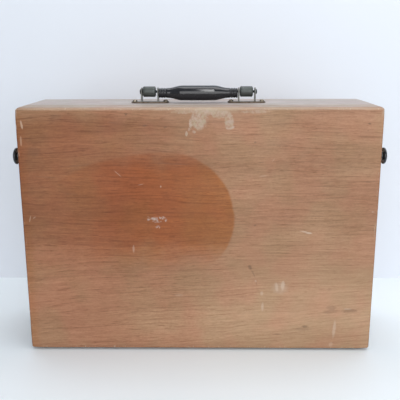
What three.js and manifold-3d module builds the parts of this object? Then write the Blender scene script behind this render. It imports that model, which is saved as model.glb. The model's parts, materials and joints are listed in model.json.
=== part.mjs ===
// Wooden art supply box, standing on its hinge edge with the carrying handle on top.
//
// Millimetres, +Z up. The origin is on the resting plane, under the middle of the box.
// +X runs along the handle, -Y is the lid side, +Y is the base side.
//
// The box is a shallow lid hinged along the bottom edge to a deeper base. Both are frames
// of four walls closed by a thin panel. A two-bar stay at each end carries the open lid:
// the arm turns on the base and the link on the lid, and a knob outside the lid clamps it.

import * as THREE from 'three';
import { RoundedBoxGeometry } from 'three/addons/geometries/RoundedBoxGeometry.js';
import { mergeVertices } from 'three/addons/utils/BufferGeometryUtils.js';
import Module from 'manifold-3d';

const wasm = await Module();
wasm.setup();

// ---------------------------------------------------------------- driving dimensions

const BOX_WIDTH = 432;
const BOX_HEIGHT = 306;
const BOX_DEPTH = 131;
const LID_DEPTH = 39.5;
const WALL = 10;
const PANEL = 6;
const DIVIDER = 4;
const STANDOFF = 2.9; // the hinge knuckles and the rear glides hold the wood this far up
const EDGE_ROUND = 4; // worn outer edges of the wood
const EDGE_STEPS = 2; // facets across a rounded edge

const GAP = 0.25; // between pieces that rest on each other
const RUN = 0.3; // radial clearance of anything that turns
const ROUND = 12; // facets of a small turned piece
const SMOOTH = 20; // facets of a knob, cap or grip
const PAST = 1; // how far a cutting tool runs beyond the piece it cuts
const SKIN = 0.01; // keeps the wide end of a countersink tool off the face it opens

const X_OUT = BOX_WIDTH / 2;
const X_IN = X_OUT - WALL;
const Y_FRONT = -BOX_DEPTH / 2;
const Y_BACK = BOX_DEPTH / 2;
const Y_SEAM = Y_FRONT + LID_DEPTH;
const Z_LOW = STANDOFF;
const Z_HIGH = STANDOFF + BOX_HEIGHT;

// Dividers stand on the back panel and stop short of the lid, clear of the stays.
const DIVIDER_TOP_Y = 0;
const DIVIDER_LONG_Z = 90;
const DIVIDER_CROSS_X = 68;

// Two butt hinges on the outside of the bottom walls.
const HINGE_X = 140;
const HINGE_LENGTH = 50;
const HINGE_LEAF = { thick: 1.2, start: 2.6, end: 19 };
const KNUCKLE = { radius: 2.3, bore: 1.25, count: 5, gap: 0.3 };
const HINGE_PIN_RADIUS = 1;
const HINGE_SCREW = { x: 15, y: 11, head: 2.9, shank: 1.2, length: 8 };
const HINGE_AXIS = { y: Y_SEAM, z: KNUCKLE.radius };

// The stay is an exact parallelogram: hinge axis, arm pivot, elbow, clamp stud.
const ARM_OFFSET = { y: 12, z: 36 }; // arm pivot from the hinge axis, and elbow from the stud
const STUD_OFFSET = { y: -20, z: 246.6 }; // clamp stud from the hinge axis
const ARM_PIVOT = { y: HINGE_AXIS.y + ARM_OFFSET.y, z: HINGE_AXIS.z + ARM_OFFSET.z };
const STUD = { y: HINGE_AXIS.y + STUD_OFFSET.y, z: HINGE_AXIS.z + STUD_OFFSET.z };
const ELBOW = { y: STUD.y + ARM_OFFSET.y, z: STUD.z + ARM_OFFSET.z };
const ARM = { radius: 5, inner: X_IN - 6, outer: X_IN - 4 };
const LINK = { radius: 6, inner: X_IN - 3.4, outer: X_IN - 1.4 };
const PIVOT_RADIUS = 2;
const PIVOT_SCREW = { head: 4.5, rise: 1.8, depth: 7 };
const RIVET = { head: 4, rise: 1.3, tail: 3.5, tailRise: 0.9 };
const STUD_RADIUS = 3;
const STUD_TAIL = 4.7; // from the link to the stud's inner end
const NUT = { radius: 5.8, thick: 3.4, sides: 6 };

// The knob's back and reach are measured from the outside of the box.
const KNOB = { radius: 10, neck: 5.2, waist: 4.8, back: 6, rim: 1.5, reach: 10.7, cover: 2.2 };
const KNOB_WASHER = { radius: 8, thick: 1.1 };

// Handle on the top wall of the base.
const HANDLE = { x: -1.7, y: 3, rodZ: 323, gripZ: 321.3 };
const ROD_RADIUS = 1.5;
const ROD_HEAD = { radius: 3.3, rise: 1.6 };
const EAR = { outerX: 71.7, innerX: 51.1, thick: 1.6, radius: 5, foot: 6.5 };
const BRACKET = { start: 37.2, end: 85.2, halfWidth: 7, thick: 1.6 };
const BRACKET_SCREW = { near: 41.6, far: 80.7, shank: 1.4, head: 3.25, rise: 2.3, depth: 8.4 };
const SCREW_SLOT = { width: 0.8, depth: 0.9 };
const CAP = { radius: 6.6, chamfer: 1.2, left: [-70.2, -53.9], right: [52.5, 68.9] };
const GRIP = { left: -49.9, right: 49.6, bore: 3.5, neck: 6.2, belly: 9.4, flat: 20.5, taper: 37.5 };
const GRIP_CHAMFER = 0.6;
const GRIP_STEPS = 5; // facets along each curved shoulder
const GRIP_RINGS = { first: 41, pitch: 3.2, count: 3, depth: 0.45, width: 0.9 };

const GLIDE = { x: 190, y: 52, radius: 8, rim: 0.9, nail: 1.2, length: 9 };

// ---------------------------------------------------------------- materials

function finish(color, roughness, metalness) {
  return new THREE.MeshStandardMaterial({ color, roughness, metalness });
}

const FINISH = {
  wood: () => finish(0xa87c5e, 0.6, 0),
  innerWood: () => finish(0xc49f78, 0.7, 0),
  blackPlastic: () => finish(0x1d1c1e, 0.25, 0),
  darkMetal: () => finish(0x4f5552, 0.45, 0.7),
  brass: () => finish(0x8d8268, 0.45, 0.8),
  steel: () => finish(0x9a9a98, 0.4, 0.9),
};

// ---------------------------------------------------------------- solids

// A closed three.js geometry as a solid that can be joined and cut.
function solid(geometry) {
  geometry.deleteAttribute('normal');
  geometry.deleteAttribute('uv');
  const welded = mergeVertices(geometry, 1e-4);
  const corners = Array.from(welded.index.array);
  const triVerts = [];
  for (let i = 0; i < corners.length; i += 3) {
    const [a, b, c] = corners.slice(i, i + 3);
    if (a !== b && b !== c && c !== a) {
      triVerts.push(a, b, c);
    }
  }
  return new wasm.Manifold(new wasm.Mesh({
    numProp: 3,
    vertProperties: Float32Array.from(welded.attributes.position.array),
    triVerts: Uint32Array.from(triVerts),
  }));
}

function box(low, high) {
  const [sx, sy, sz] = high.map((value, i) => value - low[i]);
  const geometry = new THREE.BoxGeometry(sx, sy, sz);
  geometry.translate(low[0] + sx / 2, low[1] + sy / 2, low[2] + sz / 2);
  return solid(geometry);
}

function join(bodies) {
  return bodies.reduce((sum, body) => sum.add(body));
}

function cut(body, tools) {
  return tools.reduce((rest, tool) => rest.subtract(tool), body);
}

function profile(points) {
  return points.map(([radius, along]) => new THREE.Vector2(radius, along));
}

// Profile of a domed head, from its rim at base to its crown on the axis.
function dome(radius, base, rise, steps = 3) {
  const points = [];
  for (let i = 0; i < steps; i += 1) {
    const turn = (i / steps) * (Math.PI / 2);
    points.push([radius * Math.cos(turn), base + rise * Math.sin(turn)]);
  }
  return [...points, [0, base + rise]];
}

// Turned about a vertical line through (x, y); the profile's second value is the height.
function turnedUpright(points, x, y, facets = ROUND) {
  const geometry = new THREE.LatheGeometry(profile(points), facets);
  geometry.rotateX(Math.PI / 2);
  geometry.translate(x, y, 0);
  return solid(geometry);
}

// Turned about a line along X through (y, z). The profile's second value is the distance
// along X, away from the middle of the box: to the right for side 1, to the left for -1.
function turnedAlongX(points, y, z, side = 1, facets = ROUND) {
  const geometry = new THREE.LatheGeometry(profile(points), facets);
  geometry.applyMatrix4(new THREE.Matrix4().makeBasis(
    new THREE.Vector3(0, side, 0),
    new THREE.Vector3(side, 0, 0),
    new THREE.Vector3(0, 0, -1),
  ));
  geometry.translate(0, y, z);
  return solid(geometry);
}

function rodAlongX(radius, from, to, y, z, side = 1, facets = ROUND) {
  return turnedAlongX([[0, from], [radius, from], [radius, to], [0, to]], y, z, side, facets);
}

function ringAlongX(inner, outer, from, to, y, z, side = 1) {
  const points = [[inner, from], [outer, from], [outer, to], [inner, to], [inner, from]];
  return turnedAlongX(points, y, z, side);
}

function uprightRod(radius, from, to, x, y) {
  return turnedUpright([[0, from], [radius, from], [radius, to], [0, to]], x, y);
}

// A flat plate in a Y-Z plane, lying between two distances from the middle on one side.
function sidePlate(outline, inner, outer, side = 1) {
  const geometry = new THREE.ExtrudeGeometry(outline, {
    depth: outer - inner,
    bevelEnabled: false,
    curveSegments: ROUND / 2,
  });
  geometry.applyMatrix4(new THREE.Matrix4().makeBasis(
    new THREE.Vector3(0, 1, 0),
    new THREE.Vector3(0, 0, 1),
    new THREE.Vector3(1, 0, 0),
  ));
  geometry.translate(side > 0 ? inner : -outer, 0, 0);
  return solid(geometry);
}

// Outline of a bar with round ends between two points of a Y-Z plane.
function barOutline(from, to, radius) {
  const heading = Math.atan2(to.z - from.z, to.y - from.y);
  const shape = new THREE.Shape();
  shape.absarc(to.y, to.z, radius, heading - Math.PI / 2, heading + Math.PI / 2, false);
  shape.absarc(from.y, from.z, radius, heading + Math.PI / 2, heading + 1.5 * Math.PI, false);
  shape.closePath();
  return shape;
}

// ---------------------------------------------------------------- the assembly

const artBox = new THREE.Group();

function piece(name, body, material) {
  const { vertProperties, triVerts } = body.getMesh();
  const geometry = new THREE.BufferGeometry();
  geometry.setAttribute('position', new THREE.BufferAttribute(vertProperties, 3));
  geometry.setIndex(new THREE.BufferAttribute(triVerts, 1));
  geometry.computeVertexNormals();
  const mesh = new THREE.Mesh(geometry, material);
  mesh.name = name;
  artBox.add(mesh);
}

const SIDES = [['left', -1], ['right', 1]];

// ---------------------------------------------------------------- wood

// A block with the box's worn outer edges. The seam side runs on past the seam, unrounded.
function outerForm(front, back) {
  const depth = back - front;
  const geometry = new RoundedBoxGeometry(BOX_WIDTH, depth, BOX_HEIGHT, EDGE_STEPS, EDGE_ROUND);
  geometry.translate(0, (front + back) / 2, (Z_LOW + Z_HIGH) / 2);
  return solid(geometry);
}

const OVERRUN = 3 * EDGE_ROUND;
const lidForm = outerForm(Y_FRONT, Y_SEAM + OVERRUN);
const baseForm = outerForm(Y_SEAM - OVERRUN, Y_BACK);

// Four walls between two depths: top and bottom run the full width, the sides fit between.
function walls(part, form, front, back, cuts) {
  const wallSolid = (low, high, name) => cut(box(low, high).intersect(form), cuts[name]);
  const sideLow = Z_LOW + WALL + GAP;
  const sideHigh = Z_HIGH - WALL - GAP;
  const top = wallSolid([-X_OUT, front, Z_HIGH - WALL], [X_OUT, back, Z_HIGH], 'top');
  const bottom = wallSolid([-X_OUT, front, Z_LOW], [X_OUT, back, Z_LOW + WALL], 'bottom');
  const left = wallSolid([-X_OUT, front, sideLow], [-X_IN, back, sideHigh], 'left');
  const right = wallSolid([X_IN, front, sideLow], [X_OUT, back, sideHigh], 'right');
  piece(`${part}_wall_top`, top, FINISH.wood());
  piece(`${part}_wall_bottom`, bottom, FINISH.wood());
  piece(`${part}_wall_left`, left, FINISH.wood());
  piece(`${part}_wall_right`, right, FINISH.wood());
}

function panel(name, form, front, back) {
  const slab = box([-X_OUT, front, Z_LOW], [X_OUT, back, Z_HIGH]);
  piece(name, slab.intersect(form), FINISH.wood());
}

// Room for the hinge knuckles along the seam, in both bottom walls.
function knuckleRelief() {
  return [-1, 1].map((side) => {
    const middle = side * HINGE_X;
    const reach = HINGE_LENGTH / 2 + 2 * RUN;
    const { y, z } = HINGE_AXIS;
    return rodAlongX(KNUCKLE.radius + 2 * RUN, middle - reach, middle + reach, y, z);
  });
}

function hingeScrewSpots(leafSide) {
  const spots = [];
  for (const side of [-1, 1]) {
    for (const step of [-1, 1]) {
      spots.push([side * HINGE_X + step * HINGE_SCREW.x, HINGE_AXIS.y + leafSide * HINGE_SCREW.y]);
    }
  }
  return spots;
}

function hingeScrewPilots(leafSide) {
  return hingeScrewSpots(leafSide).map(([x, y]) => {
    return uprightRod(HINGE_SCREW.shank + RUN, 0, Z_LOW + HINGE_SCREW.length + RUN, x, y);
  });
}

function bracketScrewSpots() {
  const spots = [];
  for (const side of [-1, 1]) {
    for (const reach of [BRACKET_SCREW.near, BRACKET_SCREW.far]) {
      spots.push([HANDLE.x + side * reach, HANDLE.y]);
    }
  }
  return spots;
}

function lidWood() {
  const studHole = (side) => {
    return rodAlongX(STUD_RADIUS + RUN, X_IN - PAST, X_OUT + PAST, STUD.y, STUD.z, side);
  };
  walls('lid', lidForm, Y_FRONT + PANEL + GAP, Y_SEAM - GAP / 2, {
    top: [],
    bottom: [...knuckleRelief(), ...hingeScrewPilots(-1)],
    left: [studHole(-1)],
    right: [studHole(1)],
  });
  panel('lid_panel', lidForm, Y_FRONT, Y_FRONT + PANEL);
}

function baseWood() {
  const pivotPilot = (side) => {
    const end = X_IN + PIVOT_SCREW.depth + GAP;
    return rodAlongX(PIVOT_RADIUS + RUN, X_IN - PAST, end, ARM_PIVOT.y, ARM_PIVOT.z, side);
  };
  const bracketPilots = bracketScrewSpots().map(([x, y]) => {
    const tip = Z_HIGH - BRACKET_SCREW.depth - RUN;
    return uprightRod(BRACKET_SCREW.shank + RUN, tip, Z_HIGH + PAST, x, y);
  });
  const glidePilots = [-1, 1].map((side) => {
    return uprightRod(GLIDE.nail + RUN, 0, Z_LOW + GLIDE.length + RUN, side * GLIDE.x, GLIDE.y);
  });
  walls('base', baseForm, Y_SEAM + GAP / 2, Y_BACK - PANEL - GAP, {
    top: bracketPilots,
    bottom: [...knuckleRelief(), ...hingeScrewPilots(1), ...glidePilots],
    left: [pivotPilot(-1)],
    right: [pivotPilot(1)],
  });
  panel('base_panel', baseForm, Y_BACK - PANEL, Y_BACK);
}

function dividers() {
  const back = Y_BACK - PANEL - GAP;
  const reach = X_IN - GAP;
  const longTop = DIVIDER_LONG_Z + DIVIDER;
  const long = box([-reach, DIVIDER_TOP_Y, DIVIDER_LONG_Z], [reach, back, longTop]);
  piece('divider_long', long, FINISH.innerWood());
  for (const [name, side] of SIDES) {
    const middle = side * DIVIDER_CROSS_X;
    const low = [middle - DIVIDER / 2, DIVIDER_TOP_Y, longTop + GAP];
    const high = [middle + DIVIDER / 2, back, Z_HIGH - WALL - GAP];
    piece(`divider_cross_${name}`, box(low, high), FINISH.innerWood());
  }
}

// Domed glides nailed under the base keep the box level on its knuckles.
function glides() {
  const seat = Z_LOW - GAP;
  for (const [name, side] of SIDES) {
    const outline = [
      ...dome(GLIDE.radius, seat - GLIDE.rim, GLIDE.rim - seat, 4).reverse(),
      [GLIDE.radius, seat],
      [GLIDE.nail, seat],
      [GLIDE.nail, Z_LOW + GLIDE.length - GLIDE.nail],
      [0, Z_LOW + GLIDE.length],
    ];
    piece(`glide_${name}`, turnedUpright(outline, side * GLIDE.x, GLIDE.y), FINISH.steel());
  }
}

// ---------------------------------------------------------------- hinges

// Height band of a leaf: it lies under the wood, level with the middle of its knuckles.
const LEAF_HIGH = Z_LOW - GAP;
const LEAF_LOW = LEAF_HIGH - HINGE_LEAF.thick;

function hingeScrewOutline(grow) {
  const { head, shank, length } = HINGE_SCREW;
  const neck = LEAF_LOW + head - shank;
  return [
    [0, LEAF_LOW],
    [head + grow, LEAF_LOW],
    [shank + grow, neck],
    [shank + grow, Z_LOW + length - shank],
    [0, Z_LOW + length],
  ];
}

// leafSide is 1 for the base and -1 for the lid; the leaf owns every other knuckle.
function hingeLeaf(middle, leafSide) {
  const { y, z } = HINGE_AXIS;
  const strip = (x0, x1, near, far) => {
    const [y0, y1] = [y + leafSide * near, y + leafSide * far].sort((a, b) => a - b);
    return box([x0, y0, LEAF_LOW], [x1, y1, LEAF_HIGH]);
  };
  const half = HINGE_LENGTH / 2;
  const bodies = [strip(middle - half, middle + half, HINGE_LEAF.start, HINGE_LEAF.end)];
  const pitch = HINGE_LENGTH / KNUCKLE.count;
  for (let i = leafSide > 0 ? 0 : 1; i < KNUCKLE.count; i += 2) {
    const from = middle - half + i * pitch + KNUCKLE.gap / 2;
    const to = from + pitch - KNUCKLE.gap;
    bodies.push(rodAlongX(KNUCKLE.radius, from, to, y, z));
    bodies.push(strip(from, to, 0, HINGE_LEAF.start + GAP));
  }
  const bore = rodAlongX(KNUCKLE.bore, middle - half - PAST, middle + half + PAST, y, z);
  const sinks = hingeScrewSpots(leafSide).map(([sx, sy]) => {
    return turnedUpright(hingeScrewOutline(GAP), sx, sy).translate([0, 0, -SKIN]);
  });
  return cut(join(bodies), [bore, ...sinks]);
}

function hinges() {
  const pinReach = HINGE_LENGTH / 2 + GAP;
  for (const [name, side] of SIDES) {
    const middle = side * HINGE_X;
    const { y, z } = HINGE_AXIS;
    const pin = rodAlongX(HINGE_PIN_RADIUS, middle - pinReach, middle + pinReach, y, z);
    piece(`hinge_base_leaf_${name}`, hingeLeaf(middle, 1), FINISH.brass());
    piece(`hinge_lid_leaf_${name}`, hingeLeaf(middle, -1), FINISH.brass());
    piece(`hinge_pin_${name}`, pin, FINISH.steel());
  }
  for (const [part, leafSide] of [['base', 1], ['lid', -1]]) {
    hingeScrewSpots(leafSide).forEach(([x, y], i) => {
      const screw = turnedUpright(hingeScrewOutline(0), x, y);
      piece(`hinge_${part}_screw_${i + 1}`, screw, FINISH.brass());
    });
  }
}

// ---------------------------------------------------------------- lid stays and clamps

function stayArm(side) {
  const plate = sidePlate(barOutline(ARM_PIVOT, ELBOW, ARM.radius), ARM.inner, ARM.outer, side);
  const holes = [ARM_PIVOT, ELBOW].map(({ y, z }) => {
    return rodAlongX(PIVOT_RADIUS + RUN, ARM.inner - PAST, ARM.outer + PAST, y, z, side);
  });
  return cut(plate, holes);
}

function stayLink(side) {
  const plate = sidePlate(barOutline(STUD, ELBOW, LINK.radius), LINK.inner, LINK.outer, side);
  const holes = [[STUD, STUD_RADIUS], [ELBOW, PIVOT_RADIUS]].map(([{ y, z }, radius]) => {
    return rodAlongX(radius + RUN, LINK.inner - PAST, LINK.outer + PAST, y, z, side);
  });
  return cut(plate, holes);
}

// Rivet through arm and link, with a low head on each outer face.
function elbowRivet(side) {
  const innerHead = ARM.inner - GAP;
  const outerHead = LINK.outer + GAP;
  const outline = [
    ...dome(RIVET.head, innerHead, -RIVET.rise).reverse(),
    [PIVOT_RADIUS, innerHead],
    [PIVOT_RADIUS, outerHead],
    ...dome(RIVET.tail, outerHead, RIVET.tailRise, 2),
  ];
  return turnedAlongX(outline, ELBOW.y, ELBOW.z, side);
}

// Round-head screw that carries the arm, standing in a bush against the base wall.
function pivotScrew(side) {
  const seat = ARM.inner - GAP;
  const tip = X_IN + PIVOT_SCREW.depth;
  const outline = [
    ...dome(PIVOT_SCREW.head, seat, -PIVOT_SCREW.rise).reverse(),
    [PIVOT_RADIUS, seat],
    [PIVOT_RADIUS, tip - PIVOT_RADIUS],
    [0, tip],
  ];
  return turnedAlongX(outline, ARM_PIVOT.y, ARM_PIVOT.z, side);
}

// Hexagonal nut against the link.
function studNut(side) {
  const { y, z } = STUD;
  const outer = LINK.inner - GAP;
  const inner = outer - NUT.thick;
  const hexagon = rodAlongX(NUT.radius, inner, outer, y, z, side, NUT.sides);
  const bore = rodAlongX(STUD_RADIUS + RUN, inner - PAST, outer + PAST, y, z, side);
  return hexagon.subtract(bore);
}

// Mushroom knob: slim neck, flat back, domed face, and a blind bore for the stud.
function knob(side) {
  const { radius, neck, waist, rim } = KNOB;
  const start = X_OUT + KNOB_WASHER.thick + 2 * GAP;
  const back = X_OUT + KNOB.back;
  const top = X_OUT + KNOB.reach;
  const bore = STUD_RADIUS + GAP;
  const outline = [
    [0, top - KNOB.cover],
    [bore, top - KNOB.cover],
    [bore, start],
    [neck, start],
    [waist, back - rim],
    [radius - rim / 2, back],
    [radius, back + rim / 2],
    ...dome(radius, back + rim, top - back - rim, 5),
  ];
  return turnedAlongX(outline, STUD.y, STUD.z, side, SMOOTH);
}

// Short tube that spaces the arm off the base wall.
function stayBush(side) {
  const { y, z } = ARM_PIVOT;
  return ringAlongX(PIVOT_RADIUS + RUN, ARM.radius, ARM.outer + GAP, X_IN - GAP, y, z, side);
}

function studWasher(radius, from, to, side) {
  return ringAlongX(STUD_RADIUS + RUN, radius, from, to, STUD.y, STUD.z, side);
}

function stud(side) {
  const end = X_OUT + KNOB.reach - KNOB.cover - GAP;
  return rodAlongX(STUD_RADIUS, LINK.inner - STUD_TAIL, end, STUD.y, STUD.z, side);
}

function stays() {
  const seat = X_OUT + GAP;
  for (const [name, side] of SIDES) {
    const innerWasher = studWasher(LINK.radius, LINK.outer + GAP, X_IN - GAP, side);
    const outerWasher = studWasher(KNOB_WASHER.radius, seat, seat + KNOB_WASHER.thick, side);
    piece(`stay_arm_${name}`, stayArm(side), FINISH.brass());
    piece(`stay_link_${name}`, stayLink(side), FINISH.brass());
    piece(`elbow_rivet_${name}`, elbowRivet(side), FINISH.brass());
    piece(`stay_pivot_screw_${name}`, pivotScrew(side), FINISH.brass());
    piece(`stay_bush_${name}`, stayBush(side), FINISH.brass());
    piece(`stay_washer_${name}`, innerWasher, FINISH.steel());
    piece(`stud_nut_${name}`, studNut(side), FINISH.steel());
    piece(`knob_washer_${name}`, outerWasher, FINISH.brass());
    piece(`knob_stud_${name}`, stud(side), FINISH.steel());
    piece(`knob_${name}`, knob(side), FINISH.blackPlastic());
  }
}

// ---------------------------------------------------------------- handle

// A plate on the wood with two ears standing up from it, bored for the rod.
function handleBracket(side) {
  const { start, end, halfWidth, thick } = BRACKET;
  const low = Z_HIGH + GAP;
  const outline = new THREE.Shape();
  outline.absarc(end - halfWidth, 0, halfWidth, -Math.PI / 2, Math.PI / 2, false);
  outline.absarc(start + halfWidth, 0, halfWidth, Math.PI / 2, 1.5 * Math.PI, false);
  outline.closePath();
  const plate = new THREE.ExtrudeGeometry(outline, {
    depth: thick,
    bevelEnabled: false,
    curveSegments: ROUND / 2,
  });
  plate.rotateZ(side > 0 ? 0 : Math.PI);
  plate.translate(0, HANDLE.y, low);
  const ear = new THREE.Shape();
  ear.moveTo(HANDLE.y - EAR.foot, low + thick / 2);
  ear.lineTo(HANDLE.y + EAR.foot, low + thick / 2);
  ear.absarc(HANDLE.y, HANDLE.rodZ, EAR.radius, 0, Math.PI, false);
  ear.closePath();
  const ears = [EAR.innerX, EAR.outerX].map((x) => {
    return sidePlate(ear, x - EAR.thick / 2, x + EAR.thick / 2, side);
  });
  const boreStart = EAR.innerX - EAR.thick;
  const boreEnd = EAR.outerX + EAR.thick;
  const bore = rodAlongX(ROD_RADIUS + RUN, boreStart, boreEnd, HANDLE.y, HANDLE.rodZ, side);
  const screwHoles = [BRACKET_SCREW.near, BRACKET_SCREW.far].map((x) => {
    const radius = BRACKET_SCREW.shank + RUN;
    return uprightRod(radius, low - PAST, low + thick + PAST, side * x, HANDLE.y);
  });
  const bracket = cut(join([solid(plate), ...ears]), [bore, ...screwHoles]);
  return bracket.translate([HANDLE.x, 0, 0]);
}

// Round-head wood screw with a straight slot.
function bracketScrew(x, y) {
  const seat = Z_HIGH + BRACKET.thick + 2 * GAP;
  const tip = Z_HIGH - BRACKET_SCREW.depth;
  const { shank, head, rise } = BRACKET_SCREW;
  const body = turnedUpright([
    [0, tip],
    [shank, tip + shank],
    [shank, seat],
    ...dome(head, seat, rise),
  ], x, y);
  const { width, depth } = SCREW_SLOT;
  const slot = box(
    [x - head, y - width / 2, seat + rise - depth],
    [x + head, y + width / 2, seat + rise + PAST],
  );
  return body.subtract(slot);
}

// Rod through both brackets, with a domed head at each end.
function handleRod() {
  const reach = EAR.outerX + EAR.thick / 2 + GAP;
  const { radius, rise } = ROD_HEAD;
  const outline = [
    ...dome(radius, -reach, -rise).reverse(),
    [ROD_RADIUS, -reach],
    [ROD_RADIUS, reach],
    ...dome(radius, reach, rise),
  ];
  return turnedAlongX(outline, HANDLE.y, HANDLE.rodZ).translate([HANDLE.x, 0, 0]);
}

function gripRadius(x) {
  const { neck, belly, flat, taper } = GRIP;
  const toNeck = THREE.MathUtils.smoothstep(Math.abs(x), flat, taper);
  return THREE.MathUtils.lerp(belly, neck, toNeck);
}

// Turned grip: cylindrical belly, curved shoulders, ringed necks, bored through.
function handleGrip() {
  const { left, right, bore } = GRIP;
  const { first, pitch, count, depth, width } = GRIP_RINGS;
  const half = [[gripRadius(0), 0]];
  for (let i = 0; i <= GRIP_STEPS; i += 1) {
    const x = GRIP.flat + ((GRIP.taper - GRIP.flat) * i) / GRIP_STEPS;
    half.push([gripRadius(x), x]);
  }
  for (let i = 0; i < count; i += 1) {
    const middle = first + i * pitch;
    half.push([GRIP.neck, middle - width]);
    half.push([GRIP.neck - depth, middle]);
    half.push([GRIP.neck, middle + width]);
  }
  const mirrored = half.slice(1).map(([radius, x]) => [radius, -x]).reverse();
  const outline = [
    [bore, left],
    [GRIP.neck - GRIP_CHAMFER, left],
    [GRIP.neck, left + GRIP_CHAMFER],
    ...mirrored,
    ...half,
    [GRIP.neck, right - GRIP_CHAMFER],
    [GRIP.neck - GRIP_CHAMFER, right],
    [bore, right],
    [bore, left],
  ];
  return turnedAlongX(outline, HANDLE.y, HANDLE.gripZ, 1, SMOOTH).translate([HANDLE.x, 0, 0]);
}

function handleCap([from, to]) {
  const { radius, chamfer } = CAP;
  const bore = ROD_RADIUS + RUN;
  const outline = [
    [bore, from],
    [radius - chamfer, from],
    [radius, from + chamfer],
    [radius, to - chamfer],
    [radius - chamfer, to],
    [bore, to],
    [bore, from],
  ];
  return turnedAlongX(outline, HANDLE.y, HANDLE.rodZ, 1, SMOOTH).translate([HANDLE.x, 0, 0]);
}

function handle() {
  for (const [name, side] of SIDES) {
    piece(`handle_bracket_${name}`, handleBracket(side), FINISH.brass());
    piece(`handle_cap_${name}`, handleCap(CAP[name]), FINISH.darkMetal());
  }
  bracketScrewSpots().forEach(([x, y], i) => {
    piece(`bracket_screw_${i + 1}`, bracketScrew(x, y), FINISH.brass());
  });
  piece('handle_rod', handleRod(), FINISH.steel());
  piece('handle_grip', handleGrip(), FINISH.blackPlastic());
}

baseWood();
dividers();
glides();
lidWood();
hinges();
stays();
handle();

export default artBox;
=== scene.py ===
"""Looks of a wooden art supply box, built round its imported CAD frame.

Lengths are in metres in the frame's axes: +X along the handle, +Y from lid to base, +Z up.
Small sizes are written in millimetres times MM. Every piece keeps its origin at the frame's
origin, so object coordinates in the materials are frame coordinates at rest.
"""

import itertools
import json
import math

import bmesh
import bpy
from mathutils import Matrix, Vector, noise

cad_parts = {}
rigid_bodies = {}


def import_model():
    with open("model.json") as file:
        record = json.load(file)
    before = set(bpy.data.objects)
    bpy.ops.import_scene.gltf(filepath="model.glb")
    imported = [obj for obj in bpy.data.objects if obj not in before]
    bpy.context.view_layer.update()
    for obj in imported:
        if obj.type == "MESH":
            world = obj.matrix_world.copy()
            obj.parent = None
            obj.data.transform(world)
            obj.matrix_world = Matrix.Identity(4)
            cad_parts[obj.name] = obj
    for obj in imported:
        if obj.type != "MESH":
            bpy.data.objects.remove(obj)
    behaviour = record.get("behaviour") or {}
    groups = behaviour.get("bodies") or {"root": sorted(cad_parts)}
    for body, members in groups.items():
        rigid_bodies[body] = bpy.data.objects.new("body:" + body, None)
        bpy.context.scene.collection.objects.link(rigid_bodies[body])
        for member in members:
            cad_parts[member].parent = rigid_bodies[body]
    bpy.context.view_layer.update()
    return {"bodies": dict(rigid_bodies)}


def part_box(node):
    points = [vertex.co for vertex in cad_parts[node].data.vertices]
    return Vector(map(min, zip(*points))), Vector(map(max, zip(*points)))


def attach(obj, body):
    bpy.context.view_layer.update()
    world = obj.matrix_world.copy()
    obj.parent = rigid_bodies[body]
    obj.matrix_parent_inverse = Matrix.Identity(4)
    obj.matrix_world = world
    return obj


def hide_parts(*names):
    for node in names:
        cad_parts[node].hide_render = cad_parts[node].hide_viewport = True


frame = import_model()

MM = 0.001
AXES = {"X": 0, "Y": 1, "Z": 2}
SIDES = (("left", -1), ("right", 1))

EASE = 0.45 * MM  # softened arris where two boards meet
EDGE_WEAR = {"bottom": 1.2 * MM, "side": 2.0 * MM, "top": 3.0 * MM}  # round of the outer edges
CORNER_WEAR = {"bottom": 1.2 * MM, "top": 1.1 * MM}  # added at the box's corners
FINE_GRID = 4.5 * MM  # mesh spacing on the boards that face the camera
COARSE_GRID = 9 * MM

LID_LOW, LID_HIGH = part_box("lid_panel")
WOOD_LOW = LID_LOW.copy()
WOOD_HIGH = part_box("base_panel")[1].copy()
SEAM_Y = (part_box("lid_wall_top")[1].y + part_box("base_wall_top")[0].y) / 2


def centre_of(node):
    low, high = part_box(node)
    return (low + high) / 2


def half_size(node, axis):
    """Half of a CAD node's size along one axis, in millimetres."""
    low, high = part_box(node)
    return (high[AXES[axis]] - low[AXES[axis]]) / 2 / MM


def span_from_middle(node):
    """Nearest and farthest distance of a CAD node from the plane X = 0, in millimetres."""
    low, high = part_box(node)
    return sorted((abs(low.x) / MM, abs(high.x) / MM))


def on_middle(node):
    """Where the sideways axis of a CAD node meets the plane X = 0."""
    middle = centre_of(node)
    return Vector((0, middle.y, middle.z))


def side_axis(side):
    return "X" if side > 0 else "-X"


# ---------------------------------------------------------------- material building blocks


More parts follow.
